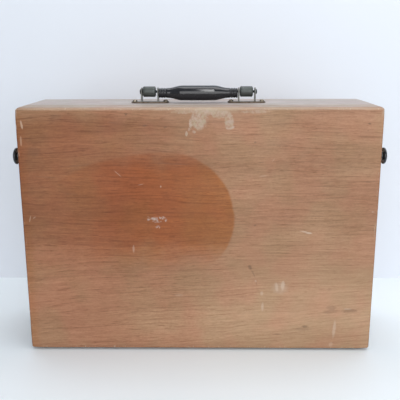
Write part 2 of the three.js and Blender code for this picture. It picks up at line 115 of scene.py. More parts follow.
class Shader:
    """A small wrapper that builds a node material in readable steps."""

    def __init__(self, name):
        self.material = bpy.data.materials.new(name)
        self.material.use_nodes = True
        self.tree = self.material.node_tree
        self.tree.nodes.clear()
        self.output = self.tree.nodes.new("ShaderNodeOutputMaterial")
        self.surface = self.tree.nodes.new("ShaderNodeBsdfPrincipled")
        self.tree.links.new(self.surface.outputs[0], self.output.inputs[0])
        self.shared = {}

    def put(self, socket, value):
        """Links a socket's value, or writes a number or a colour into the input."""
        if isinstance(value, bpy.types.NodeSocket):
            self.tree.links.new(value, socket)
        elif hasattr(value, "__len__") and len(value) == 3 and socket.type == "RGBA":
            socket.default_value = (*value, 1)
        else:
            socket.default_value = value

    def set(self, **values):
        for name, value in values.items():
            self.put(self.surface.inputs[name.replace("_", " ")], value)

    def math(self, operation, a, b=0.0, c=0.0, clamp=False):
        node = self.tree.nodes.new("ShaderNodeMath")
        node.operation = operation
        node.use_clamp = clamp
        for socket, value in zip(node.inputs, (a, b, c)):
            self.put(socket, value)
        return node.outputs[0]

    def add(self, a, b):
        return self.math("ADD", a, b)

    def times(self, a, b):
        return self.math("MULTIPLY", a, b)

    def position(self):
        """Frame position at rest, in millimetres, as (x, y, z) sockets."""
        coordinates = self.tree.nodes.new("ShaderNodeTexCoord").outputs["Object"]
        parts = self.tree.nodes.new("ShaderNodeSeparateXYZ")
        self.tree.links.new(coordinates, parts.inputs[0])
        return [self.times(out, 1 / MM) for out in parts.outputs]

    def vector(self, x, y, z):
        node = self.tree.nodes.new("ShaderNodeCombineXYZ")
        for socket, value in zip(node.inputs, (x, y, z)):
            self.put(socket, value)
        return node.outputs[0]

    def noise(self, vector, scale=1.0, detail=2.0, roughness=0.5):
        node = self.tree.nodes.new("ShaderNodeTexNoise")
        self.put(node.inputs["Vector"], vector)
        node.inputs["Scale"].default_value = scale
        node.inputs["Detail"].default_value = detail
        node.inputs["Roughness"].default_value = roughness
        return node.outputs["Fac"]

    def uneven(self, position, scale):
        """Noise that many marks share, made once for each scale."""
        if scale not in self.shared:
            place = self.vector(*position)
            self.shared[scale] = self.noise(place, scale, detail=3, roughness=0.6)
        return self.shared[scale]

    def step(self, value, start, end, low=0.0, high=1.0):
        """Smooth step of value from low at start to high at end; start may exceed end."""
        node = self.tree.nodes.new("ShaderNodeMapRange")
        node.interpolation_type = "SMOOTHSTEP"
        if start > end:
            start, end, low, high = end, start, high, low
        for socket, item in zip(node.inputs, (value, start, end, low, high)):
            self.put(socket, item)
        return node.outputs[0]

    def mix(self, factor, a, b, blend="MIX"):
        node = self.tree.nodes.new("ShaderNodeMix")
        node.data_type = "RGBA"
        node.blend_type = blend
        self.put(node.inputs[0], factor)
        self.put(node.inputs[6], a)
        self.put(node.inputs[7], b)
        return node.outputs[2]

    def multiply(self, factor, a, b):
        return self.mix(factor, a, b, "MULTIPLY")

    def scaled(self, value, factor, offset):
        """value * factor + offset."""
        return self.math("MULTIPLY_ADD", value, factor, offset)

    def stretch(self, position, x, y, z):
        """Texture vector from a position whose axes are scaled by three factors."""
        return self.vector(*(self.times(p, f) for p, f in zip(position, (x, y, z))))

    def bump(self, height, strength, distance):
        node = self.tree.nodes.new("ShaderNodeBump")
        node.inputs["Strength"].default_value = strength
        node.inputs["Distance"].default_value = distance
        self.put(node.inputs["Height"], height)
        return node.outputs[0]


# ---------------------------------------------------------------- wood


def grain_coordinates(shader, position, grain, sway, tilt=None):
    """(along, across, deep) sockets in mm, with the grain lines gently bent."""
    order = {"X": (0, 2, 1), "Z": (2, 0, 1), "Y": (1, 0, 2)}[grain]
    along, across, deep = (position[i] for i in order)
    slow = shader.stretch((along, across, deep), 0.006, 0.02, 0.02)
    bend = shader.times(shader.add(shader.noise(slow, detail=1.5), -0.5), sway)
    across = shader.add(across, bend)
    if tilt is not None:
        across = shader.add(across, tilt)
    return along, across, deep


def stretched(shader, grain, length, width):
    """Texture vector whose features are length mm along the grain and width mm across it."""
    return shader.stretch(grain, 1 / length, 1 / width, 1 / width)


GROWTH_PITCH = 5.2  # mm between the dark growth lines of flat-sawn boards
GROWTH_WANDER = 4.5  # line spacings that slow noise can shift a growth line by


def growth_lines(shader, grain):
    """Thin dark lines along the grain, bent by slow noise and broken into short lengths."""
    _, across, deep = grain
    slow = shader.noise(stretched(shader, grain, 170, 34), detail=2)
    phase = shader.scaled(across, 1 / GROWTH_PITCH, shader.times(slow, GROWTH_WANDER))
    phase = shader.scaled(deep, 0.4 / GROWTH_PITCH, phase)
    ring = shader.math("FRACT", phase)
    rise = shader.step(ring, 0.58, 0.9)
    fall = shader.step(ring, 1.0, 0.9)
    broken = shader.step(shader.noise(stretched(shader, grain, 55, 4.5), detail=3), 0.42, 0.62)
    return shader.times(shader.times(rise, fall), broken)


# Layers of the figure: (length, width) in mm along and across the grain, (detail, roughness)
# of the noise, (start, end) of the step across it, and the tints at its two ends.
FIGURE = {
    "bands": ((320, 26), (2, 0.5), (0.3, 0.7), (0.92, 0.90, 0.88), (1.07, 1.08, 1.09)),
    "fibres": ((13, 1.0), (3, 0.6), (0.28, 0.72), (0.89, 0.87, 0.85), (1.09, 1.10, 1.11)),
    "grit": ((2.6, 1.9), (2, 0.6), (0.3, 0.7), (0.95, 0.94, 0.93), (1.05, 1.055, 1.06)),
    "threads": ((60, 2.4), (2, 0.5), (0.3, 0.7), (0.93, 0.915, 0.90), (1.06, 1.065, 1.07)),
}


def wood_figure(shader, grain, body, strength):
    """Colour and relief of planed wood: slow bands, growth lines, fine fibres and pores over
    the body tone. strength, 0 to 1, fades the whole figure."""
    noises = {}
    for name, (size, kind, *_) in FIGURE.items():
        noises[name] = shader.noise(stretched(shader, grain, *size), 1.0, *kind)
    pores = shader.noise(stretched(shader, grain, 10, 1.0), detail=1, roughness=0.4)
    lines = growth_lines(shader, grain)
    colour = body
    for name, (_, _, span, dark, pale) in FIGURE.items():
        tint = shader.mix(shader.step(noises[name], *span), dark, pale)
        colour = shader.multiply(strength, colour, tint)
    dark_line = shader.times(lines, shader.times(strength, 0.40))
    colour = shader.multiply(dark_line, colour, (0.50, 0.39, 0.31))
    dark_pore = shader.times(shader.step(pores, 0.60, 0.74, 0.0, 0.47), strength)
    colour = shader.multiply(dark_pore, colour, (0.54, 0.43, 0.35))
    relief = shader.scaled(dark_pore, -0.8, shader.times(noises["fibres"], 0.4))
    relief = shader.scaled(dark_line, -0.5, relief)
    return colour, relief


def box_distance(shader, position):
    """Millimetres from the outside of the closed box, 0 on its faces."""
    nearest = None
    for axis in range(3):
        for wall, sign in ((WOOD_LOW[axis], 1), (WOOD_HIGH[axis], -1)):
            gap = shader.scaled(position[axis], sign, -sign * wall / MM)
            nearest = gap if nearest is None else shader.math("MINIMUM", nearest, gap)
    return nearest


def edge_distance(shader, position):
    """Millimetres from the nearest long outer edge of the box, along its faces."""
    gaps = []
    for axis in range(3):
        low = shader.math("SUBTRACT", position[axis], WOOD_LOW[axis] / MM)
        high = shader.math("SUBTRACT", WOOD_HIGH[axis] / MM, position[axis])
        gaps.append(shader.math("MINIMUM", low, high))
    smallest = shader.math("MINIMUM", gaps[0], shader.math("MINIMUM", gaps[1], gaps[2]))
    largest = shader.math("MAXIMUM", gaps[0], shader.math("MAXIMUM", gaps[1], gaps[2]))
    total = shader.add(shader.add(gaps[0], gaps[1]), gaps[2])
    return shader.math("SUBTRACT", shader.math("SUBTRACT", total, smallest), largest)


def end_grain_mask(shader, grain):
    """1 on faces that cut across the grain, judged in the board's own resting axes."""
    geometry = shader.tree.nodes.new("ShaderNodeNewGeometry")
    normal = shader.tree.nodes.new("ShaderNodeVectorTransform")
    normal.vector_type = "NORMAL"
    normal.convert_from = "WORLD"
    normal.convert_to = "OBJECT"
    shader.tree.links.new(geometry.outputs["True Normal"], normal.inputs[0])
    parts = shader.tree.nodes.new("ShaderNodeSeparateXYZ")
    shader.tree.links.new(normal.outputs[0], parts.inputs[0])
    facing = shader.math("ABSOLUTE", parts.outputs[AXES[grain]])
    return shader.step(facing, 0.55, 0.85)


EDGE_TINTS = {
    # rubbed: the pale top-edge tint, partly worn varnish and partly a painted highlight
    "rubbed": (0.46, 0.362, 0.275),
    "amber": (0.99, 0.83, 0.64),
    "line": (0.80, 0.64, 0.48),
    "chipped": (0.56, 0.45, 0.34),
}


def worn_edges_and_top_highlight(shader, position, colour):
    """Pale along the top edges, partly varnish rubbed thin and partly a painted highlight where
    the rounded edge catches the overhead light; thick and amber along the left, chipped all round.
    """
    x, _, z = position
    run = shader.noise(shader.stretch(position, 0.03, 0.2, 0.2), detail=3, roughness=0.6)
    fine = shader.noise(shader.vector(*position), 0.7, detail=3, roughness=0.6)
    reach = shader.scaled(run, 2.4, shader.times(fine, 1.2))
    gap = shader.math("SUBTRACT", edge_distance(shader, position), reach)

    top = shader.step(z, WOOD_HIGH.z / MM - 14, WOOD_HIGH.z / MM - 5)
    # Pale band along the top edges: partly rubbed varnish, partly a painted highlight from the
    # overhead light.
    rubbed = shader.times(shader.step(gap, 2.2, -1.2), top)
    colour = shader.mix(shader.times(rubbed, 0.64), colour, EDGE_TINTS["rubbed"])

    below = shader.math("SUBTRACT", 1.0, top)
    left = WOOD_LOW.x / MM
    amber = shader.step(shader.add(x, shader.times(run, -6)), left + 12, left)
    amber = shader.times(amber, below)
    colour = shader.multiply(shader.times(amber, 0.6), colour, EDGE_TINTS["amber"])
    line = shader.times(shader.step(gap, 0.9, -1.4), below)
    colour = shader.multiply(shader.times(line, 0.4), colour, EDGE_TINTS["line"])

    flecks = shader.stretch(position, 0.35, 0.35, 0.08)
    chips = shader.step(shader.noise(flecks, detail=3, roughness=0.65), 0.58, 0.68)
    chipped = shader.times(chips, shader.step(gap, 2.0, -0.4))
    return shader.mix(shader.times(chipped, 0.5), colour, EDGE_TINTS["chipped"])


VARNISH_ROUGHNESS = 0.5  # on average
# Pale grey mixed into the top walls: partly dust, partly a painted sheen, the grazing reflection
# of the bright surroundings.
DUST_AND_SHEEN_GREY = (0.46, 0.42, 0.41)
RAW_WOOD = (0.50, 0.33, 0.19)


def wood(name, grain, body_tone, marks=None, tilt=None, calm=None, dust_and_sheen=0.0):
    """Varnished old wood. body_tone, marks, tilt and calm are functions of the shader and the
    position, so that a board can carry its own stains and figure."""
    shader = Shader(name)
    position = shader.position()
    bend = tilt(shader, position) if tilt else None
    lines = grain_coordinates(shader, position, grain, 14, bend)
    strength = calm(shader, position) if calm else 1.0
    colour, relief = wood_figure(shader, lines, body_tone(shader, position), strength)

    # Slow blotches of handling and sun, some redder, some more yellow.
    everywhere = shader.vector(*position)
    cloud = shader.step(shader.noise(everywhere, 0.012, detail=3), 0.3, 0.7)
    cloud_tone = shader.mix(cloud, (0.95, 0.94, 0.92), (1.05, 1.06, 1.07))
    colour = shader.multiply(1.0, colour, cloud_tone)
    warmth = shader.step(shader.noise(everywhere, 0.021, detail=2), 0.35, 0.65)
    warm_tone = shader.mix(warmth, (1.03, 0.97, 0.98), (0.97, 1.03, 1.01))
    colour = shader.multiply(1.0, colour, warm_tone)
    # Mix towards pale grey: partly dust, partly painted sheen on the top walls.
    if dust_and_sheen:
        colour = shader.mix(dust_and_sheen, colour, DUST_AND_SHEEN_GREY)
    if marks:
        colour, relief = marks(shader, position, colour, relief)

    colour = worn_edges_and_top_highlight(shader, position, colour)

    # Inside faces were never varnished.
    inside = shader.step(box_distance(shader, position), 1.0, 2.2)
    raw, _ = wood_figure(shader, lines, RAW_WOOD, 0.8)
    colour = shader.mix(inside, colour, raw)

    # End grain is darker and speckled with open pores.
    ends = end_grain_mask(shader, grain)
    speckle = shader.noise(everywhere, 1.6, detail=2)
    x, y, z = position
    rings = shader.noise(shader.vector(x, shader.times(y, 0.35), z), 0.35, detail=2)
    end_tone = shader.mix(shader.step(speckle, 0.4, 0.65), (0.42, 0.32, 0.26), (0.74, 0.68, 0.62))
    ringed = shader.step(rings, 0.4, 0.6, 0.0, 0.5)
    end_tone = shader.multiply(ringed, end_tone, (0.70, 0.62, 0.55))
    colour = shader.multiply(shader.times(ends, 0.85), colour, end_tone)

    rough = shader.noise(everywhere, 0.05, detail=4)
    rough = shader.step(rough, 0.25, 0.75, VARNISH_ROUGHNESS - 0.09, VARNISH_ROUGHNESS + 0.12)
    rough = shader.math("MAXIMUM", rough, shader.times(inside, 0.72))
    shader.set(
        Base_Color=colour,
        Roughness=rough,
        Specular_IOR_Level=0.3,
        Normal=shader.bump(relief, 0.35, 0.25 * MM),
    )
    return shader.material


def plain_tone(colour):
    """A body tone that is the same all over the board."""
    return lambda shader, position: colour


# The lid panel carries marks placed by shares of its width and height.


def across_panel(share):
    return (LID_LOW.x + share * (LID_HIGH.x - LID_LOW.x)) / MM


def up_panel(share):
    return (LID_LOW.z + share * (LID_HIGH.z - LID_LOW.z)) / MM


# Lid panel tones. The step from the darker left to the paler right is partly painted light falling
# from the right.
LID_TONES = {
    "upper_left": (0.238, 0.095, 0.041),
    "upper_right": (0.330, 0.177, 0.101),
    "lower_left": (0.350, 0.176, 0.099),
    "lower_right": (0.408, 0.244, 0.147),
    "top_strip": (0.385, 0.245, 0.155),
    "foot": (0.335, 0.185, 0.108),
}
STAIN_TINT = (0.91, 0.615, 0.34)
PAINT_TINT = (0.43, 0.352, 0.31)
RUB_TINT = (0.54, 0.42, 0.33)
NICK_TINT = (0.115, 0.066, 0.040)
STAIN = {"across": 0.412, "up": 0.564, "radius": 82.4, "drawn_out": 0.5}


def lid_tone_with_painted_light(shader, position):
    """Redder and darker at the upper left, paler and browner at the lower right. The rise in
    brightness from left to right is partly painted light falling from the right.
    """
    x, _, z = position
    ragged = shader.noise(shader.vector(*position), 0.02, detail=2)
    shift = shader.scaled(ragged, 60, -30)
    right = shader.step(shader.add(x, shift), across_panel(0.18), across_panel(0.72))
    upper = shader.step(shader.add(z, shift), up_panel(0.12), up_panel(0.62))
    top = shader.mix(right, LID_TONES["upper_left"], LID_TONES["upper_right"])
    bottom = shader.mix(right, LID_TONES["lower_left"], LID_TONES["lower_right"])
    whole = shader.mix(upper, bottom, top)
    crown = shader.step(shader.add(z, shader.times(shift, 0.3)), up_panel(0.92), up_panel(1.0))
    whole = shader.mix(shader.times(crown, 0.26), whole, LID_TONES["top_strip"])
    foot = shader.step(z, up_panel(0.20), up_panel(0.02))
    return shader.mix(shader.times(foot, 0.32), whole, LID_TONES["foot"])


def lid_tilt(shader, position):
    """The grain climbs slightly to the right in the lower part of the panel."""
    x, _, z = position
    low = shader.step(z, up_panel(0.55), up_panel(0.1), 0.0, -0.065)
    return shader.times(x, low)


def lid_calm(shader, position):
    """The figure is quieter in the lower right of the panel."""
    x, _, z = position
    right = shader.step(x, across_panel(0.4), across_panel(0.8))
    low = shader.step(z, up_panel(0.6), up_panel(0.3))
    return shader.scaled(shader.times(right, low), -0.36, 1.0)


def spot(shader, position, place, size, soft=0.5, ragged=0.0, scale=0.12, turn=0):
    """Mask of an ellipse on the lid panel. place is in shares of the panel, size in mm, turn in
    degrees; ragged makes the edge uneven."""
    x, _, z = position
    dx = shader.math("SUBTRACT", x, across_panel(place[0]))
    dz = shader.math("SUBTRACT", z, up_panel(place[1]))
    if turn:
        cos, sin = math.cos(math.radians(turn)), math.sin(math.radians(turn))
        turned_x = shader.scaled(dx, cos, shader.times(dz, sin))
        dz = shader.scaled(dz, cos, shader.times(dx, -sin))
        dx = turned_x
    dx = shader.times(dx, 2 / size[0])
    dz = shader.times(dz, 2 / size[1])
    square = shader.add(shader.times(dx, dx), shader.times(dz, dz))
    reach = shader.math("SQRT", square)
    if ragged:
        uneven = shader.uneven(position, scale)
        reach = shader.add(reach, shader.scaled(uneven, 2 * ragged, -ragged))
    return shader.step(reach, 1.0, 1.0 - soft)


# Each mark is (across, up) in shares of the panel, (width, height) in mm, turn in degrees and
# strength.
PALE_RUBS = (
    ((0.723, 0.273), (5.0, 15.0), 6, 0.42),  # a pair of short upright rubs in a faint halo
    ((0.740, 0.278), (6.0, 16.0), -4, 0.48),
    ((0.732, 0.268), (25.0, 21.0), 0, 0.20),
    ((0.680, 0.245), (4.5, 7.0), 0, 0.35),  # an upright scratch in two lengths
    ((0.683, 0.187), (4.0, 15.0), 0, 0.42),
    ((0.662, 0.299), (3.0, 4.0), 30, 0.34),
    ((0.895, 0.088), (5.0, 29.0), -4, 0.42),
    ((0.887, 0.017), (7.0, 8.0), 0, 0.28),
    ((0.312, 0.436), (3.4, 13.0), 0, 0.30),
    ((0.795, 0.509), (13.0, 2.4), -8, 0.46),
    ((0.808, 0.503), (11.0, 3.0), -6, 0.60),
    ((0.931, 0.177), (13.0, 2.2), 0, 0.50),
    ((0.440, 0.237), (14.0, 5.0), 0, 0.14),
    ((0.274, 0.745), (14.0, 1.6), -42, 0.26),
    ((0.337, 0.701), (9.0, 1.2), 12, 0.30),
    ((0.393, 0.693), (2.2, 3.0), 0, 0.44),
    ((0.676, 0.735), (12.0, 1.6), 4, 0.26),
    ((0.704, 0.798), (7.0, 1.2), 48, 0.20),
    ((0.017, 0.935), (3.2, 14.0), 8, 0.58),  # knocks beside the left edge
    ((0.012, 0.873), (3.0, 15.0), 0, 0.36),
    ((0.022, 0.561), (2.0, 12.0), -14, 0.30),
    ((0.034, 0.566), (6.0, 2.0), 40, 0.24),
    ((0.986, 0.590), (5.0, 1.6), 0, 0.40),
)
DARK_MARKS = (
    ((0.645, 0.358), (5.5, 9.0), 25, 0.50),  # a nick with a curved tail
    ((0.655, 0.330), (2.6, 13.0), 24, 0.30),
    ((0.664, 0.290), (1.6, 9.0), 12, 0.26),
    ((0.809, 0.099), (11.0, 4.0), 0, 0.52),
    ((0.803, 0.088), (28.0, 7.0), 0, 0.26),
    ((0.727, 0.064), (15.0, 2.6), 0, 0.46),
    ((0.883, 0.183), (18.0, 8.0), 0, 0.28),
    ((0.880, 0.166), (25.0, 7.0), 8, 0.24),
    ((0.937, 0.169), (27.0, 7.0), 0, 0.36),
    ((0.877, 0.263), (8.0, 4.0), 0, 0.20),
    ((0.927, 0.391), (11.0, 2.0), 0, 0.26),
    ((0.955, 0.458), (8.0, 1.4), 0, 0.34),
    ((0.955, 0.449), (9.0, 1.4), 0, 0.26),
    ((0.303, 0.975), (5.0, 2.4), 40, 0.60),
    ((0.300, 0.978), (3.6, 1.6), -40, 0.46),
    ((0.353, 0.932), (8.0, 3.4), 8, 0.44),
    ((0.408, 0.925), (6.0, 3.4), 12, 0.44),
    ((0.264, 0.944), (19.0, 1.4), -6, 0.34),
    ((0.165, 0.777), (36.0, 1.5), 6, 0.34),
    ((0.072, 0.731), (38.0, 1.6), -4, 0.32),
    ((0.142, 0.663), (22.0, 1.3), -3, 0.34),
    ((0.428, 0.783), (46.0, 1.6), -3, 0.34),
    ((0.046, 0.832), (20.0, 16.0), 0, 0.17),
    ((0.112, 0.968), (18.0, 9.0), 0, 0.17),
    ((0.961, 0.938), (5.0, 2.4), 0, 0.56),
    ((0.958, 0.912), (2.6, 1.4), 0, 0.40),
    ((0.653, 0.867), (4.0, 3.0), 0, 0.48),
    ((0.721, 0.851), (3.0, 4.0), 0, 0.20),
    ((0.671, 0.789), (9.0, 1.1), 4, 0.44),
    ((0.966, 0.711), (13.0, 2.0), 0, 0.34),
    ((0.657, 0.535), (4.5, 2.6), 0, 0.42),
    ((0.729, 0.866), (50.0, 16.0), 0, 0.13),
)
BARE_PATCHES = (  # varnish gone beside the handle: (across, up), (width, height), strength
    ((0.499, 0.950), (24.0, 25.0), 0.9),
    ((0.516, 0.985), (40.0, 12.0), 0.8),
    ((0.581, 0.948), (13.0, 27.0), 0.85),
    ((0.560, 0.975), (30.0, 12.0), 0.7),
    ((0.586, 0.927), (10.0, 8.0), 1.0),
    ((0.478, 0.940), (6.0, 14.0), 1.0),
    ((0.466, 0.900), (4.0, 8.0), 0.8),
    ((0.473, 0.918), (3.5, 5.0), 0.7),
    ((0.486, 0.908), (6.0, 5.0), 0.6),
    ((0.455, 0.984), (30.0, 6.0), 0.5),
    ((0.650, 0.984), (44.0, 5.0), 0.5),
)
PAINT_DABS = (
    ((0.356, 0.562), (7.0, 9.0), 0.8),
    ((0.374, 0.563), (16.0, 7.0), 1.0),
    ((0.396, 0.566), (13.0, 7.0), 0.9),
    ((0.406, 0.556), (5.0, 8.0), 0.7),
    ((0.379, 0.551), (18.0, 6.0), 0.75),
    ((0.382, 0.527), (9.0, 9.0), 0.75),
)


def patches(shader, position, dabs, soft, ragged, scale):
    """The strongest of several ragged spots at each point."""
    whole = None
    for place, size, strength in dabs:
        dab = spot(shader, position, place, size, soft, ragged, scale)
        dab = shader.times(dab, strength)
        whole = dab if whole is None else shader.math("MAXIMUM", whole, dab)
    return whole


def stain_mask(shader, position):
    """An orange stain: a clean round edge on its right, drawn out and fading to the left."""
    x, _, z = position
    dx = shader.math("SUBTRACT", x, across_panel(STAIN["across"]))
    dx = shader.math("MAXIMUM", dx, shader.times(dx, STAIN["drawn_out"]))
    dz = shader.math("SUBTRACT", z, up_panel(STAIN["up"]))
    reach = shader.math("SQRT", shader.add(shader.times(dx, dx), shader.times(dz, dz)))
    ripple = shader.scaled(shader.uneven(position, 0.05), 5, -2.5)
    reach = shader.add(reach, ripple)
    disc = shader.step(reach, STAIN["radius"], STAIN["radius"] - 4)
    drift = shader.scaled(shader.uneven(position, 0.03), 40, -20)
    slid = shader.add(x, drift)
    lifted = shader.add(z, drift)
    stain = shader.times(disc, shader.step(slid, across_panel(0.03), across_panel(0.36)))
    stain = shader.times(stain, shader.step(lifted, up_panel(0.88), up_panel(0.75)))
    return shader.times(stain, shader.step(lifted, up_panel(0.335), up_panel(0.50)))


def bare_wood(shader, position, colour):
    """The bleached top middle, where rubbing has taken the varnish off in speckled patches."""
    faded = spot(shader, position, (0.53, 0.99), (190, 80), 1.0)
    colour = shader.mix(shader.times(faded, 0.22), colour, (0.365, 0.237, 0.155))
    amber = spot(shader, position, (0.535, 0.992), (96, 14), 0.9, 0.2, 0.1)
    colour = shader.mix(shader.times(amber, 0.48), colour, (0.41, 0.325, 0.215))
    veil = patches(shader, position, BARE_PATCHES, 0.45, 0.45, 0.20)
    clumps = shader.noise(shader.vector(*position), 0.21, detail=3, roughness=0.6)
    chips = shader.noise(shader.vector(*position), 0.34, detail=3, roughness=0.65)
    flakes = shader.step(shader.add(chips, shader.times(veil, 0.12)), 0.47, 0.66)
    film = shader.times(shader.step(veil, 0.0, 0.7), 0.26)
    bare = shader.add(film, shader.times(shader.times(flakes, veil), 0.48))
    tint = shader.mix(shader.step(clumps, 0.4, 0.6), (0.395, 0.332, 0.236), (0.455, 0.352, 0.285))
    return shader.mix(bare, colour, tint)


def lid_marks(shader, position, colour, relief):
    """The stain, paint, rubbed patch and small marks on the lid panel."""
    colour = shader.multiply(stain_mask(shader, position), colour, STAIN_TINT)
    colour = bare_wood(shader, position, colour)

    # A smear of pale paint in the stain, broken up by the grain.
    smear = patches(shader, position, PAINT_DABS, 0.9, 0.3, 0.2)
    specks = shader.noise(shader.vector(*position), 0.40, detail=3, roughness=0.65)
    paint = shader.step(shader.add(specks, shader.times(smear, 0.22)), 0.52, 0.78)
    paint = shader.times(paint, shader.step(smear, 0.03, 0.4))
    colour = shader.mix(shader.times(paint, 0.75), colour, PAINT_TINT)
    relief = shader.add(relief, shader.times(paint, 0.8))

    for place, size, turn, strength in PALE_RUBS:
        rub = spot(shader, position, place, size, 0.55, 0.3, 0.3, turn)
        colour = shader.mix(shader.times(rub, strength), colour, RUB_TINT)
    for place, size, turn, strength in DARK_MARKS:
        mark = spot(shader, position, place, size, 0.6, 0.35, 0.3, turn)
        colour = shader.mix(shader.times(mark, strength), colour, NICK_TINT)
        relief = shader.add(relief, shader.times(mark, -0.5 * strength))
    return colour, relief


# ---------------------------------------------------------------- metal and plastic


def metal(name, tone, dark, roughness, tarnish=0.5):
    """Old metal: base tone with darker tarnish in patches and a fine grain."""
    shader = Shader(name)
    position = shader.position()
    everywhere = shader.vector(*position)
    stains = shader.noise(everywhere, 0.35, detail=4, roughness=0.65)
    mottled = shader.step(stains, 0.62 - 0.25 * tarnish, 0.72)
    colour = shader.mix(mottled, tone, dark)
    grain = shader.noise(everywhere, 3.0, detail=3)
    rough = shader.scaled(grain, 0.2, roughness - 0.1)
    rough = shader.scaled(mottled, 0.16, rough)
    shader.set(
        Base_Color=colour,
        Metallic=0.92,
        Roughness=rough,
        Normal=shader.bump(grain, 0.12, 0.05 * MM),
    )
    return shader.material


def painted_metal(name, tone, worn_tone):
    """Dull dark finish on metal, rubbed in small patches."""
    shader = Shader(name)
    everywhere = shader.vector(*shader.position())
    rubs = shader.noise(everywhere, 0.28, detail=5, roughness=0.7)
    worn = shader.step(rubs, 0.55, 0.75)
    fine = shader.noise(everywhere, 2.2, detail=2)
    colour = shader.mix(worn, tone, worn_tone)
    shader.set(
        Base_Color=colour,
        Metallic=shader.step(worn, 0.0, 1.0, 0.35, 0.7),
        Roughness=shader.scaled(fine, 0.16, 0.36),
        Normal=shader.bump(fine, 0.15, 0.06 * MM),
    )
    return shader.material


def black_plastic(name, roughness):
    """Polished black moulding with hairline scuffs and a little dust."""
    shader = Shader(name)
    position = shader.position()
    scuffs = shader.noise(shader.stretch(position, 2.4, 0.35, 0.35), detail=4, roughness=0.7)
    dust = shader.noise(shader.vector(*position), 0.6, detail=5, roughness=0.75)
    dull = shader.step(scuffs, 0.52, 0.75)
    dusty = shader.step(dust, 0.50, 0.78, 0.0, 0.4)
    colour = shader.mix(dusty, (0.013, 0.014, 0.018), (0.085, 0.09, 0.10))
    shader.set(
        Base_Color=colour,
        Roughness=shader.scaled(dull, 0.15, roughness),
        Specular_IOR_Level=0.5,
        Normal=shader.bump(scuffs, 0.08, 0.05 * MM),
    )
    return shader.material


# ---------------------------------------------------------------- mesh building blocks


def mesh_object(name, vertices, faces):
    mesh = bpy.data.meshes.new(name)
    mesh.from_pydata(vertices, [], faces)
    mesh.validate()
    mesh.update()
    made = bpy.data.objects.new(name, mesh)
    bpy.context.scene.collection.objects.link(made)
    return made


def finish_piece(piece, node, material, body):
    """Gives a piece its material and slot, sets it on its body and in place of its CAD node."""
    piece.data.materials.clear()
    piece.data.materials.append(material)
    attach(piece, body)
    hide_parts(node)
    return piece


EDGE_LINES = (0, 0.15, 0.45, 1.0, 1.7, 2.5, 3.4, 4.6)  # mm in from a board's edge


def grid_lines(low, high, spacing):
    """Mesh lines along one axis: close together at both ends, evenly spaced between."""
    edge = [value * MM for value in EDGE_LINES if value * MM < (high - low) / 2.2]
    start, end = low + edge[-1], high - edge[-1]
    count = max(1, round((end - start) / spacing))
    middle = [start + (end - start) * i / count for i in range(1, count)]
    return [low + e for e in edge] + middle + [high - e for e in reversed(edge)]


def grid_box(low, high, spacing):
    """Vertices and quads of a box surface on the lines of grid_lines."""
    lines = [grid_lines(low[i], high[i], spacing) for i in range(3)]
    last = [len(line) - 1 for line in lines]
    index = {}
    vertices = []

    def corner(i, j, k):
        key = (i, j, k)
        if key not in index:
            index[key] = len(vertices)
            vertices.append(Vector((lines[0][i], lines[1][j], lines[2][k])))
        return index[key]

    faces = []
    for axis in range(3):
        u, v = (axis + 1) % 3, (axis + 2) % 3
        for side in (0, last[axis]):
            for a in range(last[u]):
                for b in range(last[v]):
                    ring = []
                    for step_a, step_b in ((0, 0), (1, 0), (1, 1), (0, 1)):
                        place = [0, 0, 0]
                        place[axis], place[u], place[v] = side, a + step_a, b + step_b
                        ring.append(corner(*place))
                    faces.append(ring if side else ring[::-1])
    return vertices, faces


def rounded(point, low, high, radius):
    """Where point goes when the box from low to high gets edges of this radius."""
    inner = Vector(min(max(point[i], low[i] + radius), high[i] - radius) for i in range(3))
    out = point - inner
    if out.length < 1e-9:
        return point
    return inner + out * (max(abs(c) for c in out) / out.length)


def ramp(value, start, end):
    """0 before start, 1 after end and a smooth rise between them."""
    share = min(max((value - start) / (end - start), 0), 1)
    return share * share * (3 - 2 * share)


def wear_radius(point):
    """Outer edge radius: small along the bottom, larger along the top and at the corners."""
    lift = ramp(point.z, WOOD_LOW.z, WOOD_LOW.z + 12 * MM)
    crown = ramp(point.z, WOOD_HIGH.z - 12 * MM, WOOD_HIGH.z)
    radius = EDGE_WEAR["bottom"] * (1 - lift) + EDGE_WEAR["side"] * (lift - crown)
    radius += EDGE_WEAR["top"] * crown
    corner = CORNER_WEAR["top"] if crown else CORNER_WEAR["bottom"]
    for axis in range(3):
        gap = min(abs(point[axis] - WOOD_LOW[axis]), abs(point[axis] - WOOD_HIGH[axis]))
        corner *= math.exp(-((gap / (9 * MM)) ** 2))
    uneven = 1 + 0.22 * noise.noise(point * 60) + 0.1 * noise.noise(point * 230)
    return radius * uneven + corner


OUT_OF_REACH = 0.05  # metres, well beyond any edge radius


def outer_form(low, high):
    """The box's outline as seen by a board: its inward faces are pushed out of reach."""
    form_low, form_high = low.copy(), high.copy()
    for i in range(3):
        if low[i] >= WOOD_LOW[i] + MM:
            form_low[i] -= OUT_OF_REACH
        if high[i] <= WOOD_HIGH[i] - MM:
            form_high[i] += OUT_OF_REACH
    return form_low, form_high


DIP = 0.03 * MM  # hand-planed unevenness of a board's faces


def board(node, body, material, spacing=COARSE_GRID):
    """A wooden board over its CAD node: eased arrises, worn outer edges, a little unevenness."""
    low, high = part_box(node)
    middle = (low + high) / 2
    form_low, form_high = outer_form(low, high)
    vertices, faces = grid_box(low, high, spacing)
    shaped = []
    for point in vertices:
        eased = rounded(point, low, high, EASE)
        worn = rounded(eased, form_low, form_high, wear_radius(point))
        inward = (middle - worn).normalized()
        shaped.append(worn + inward * DIP * (1 + noise.noise(point * 35)))
    piece = mesh_object(f"{node}_board", shaped, faces)
    piece.data.shade_smooth()
    return finish_piece(piece, node, material, body)


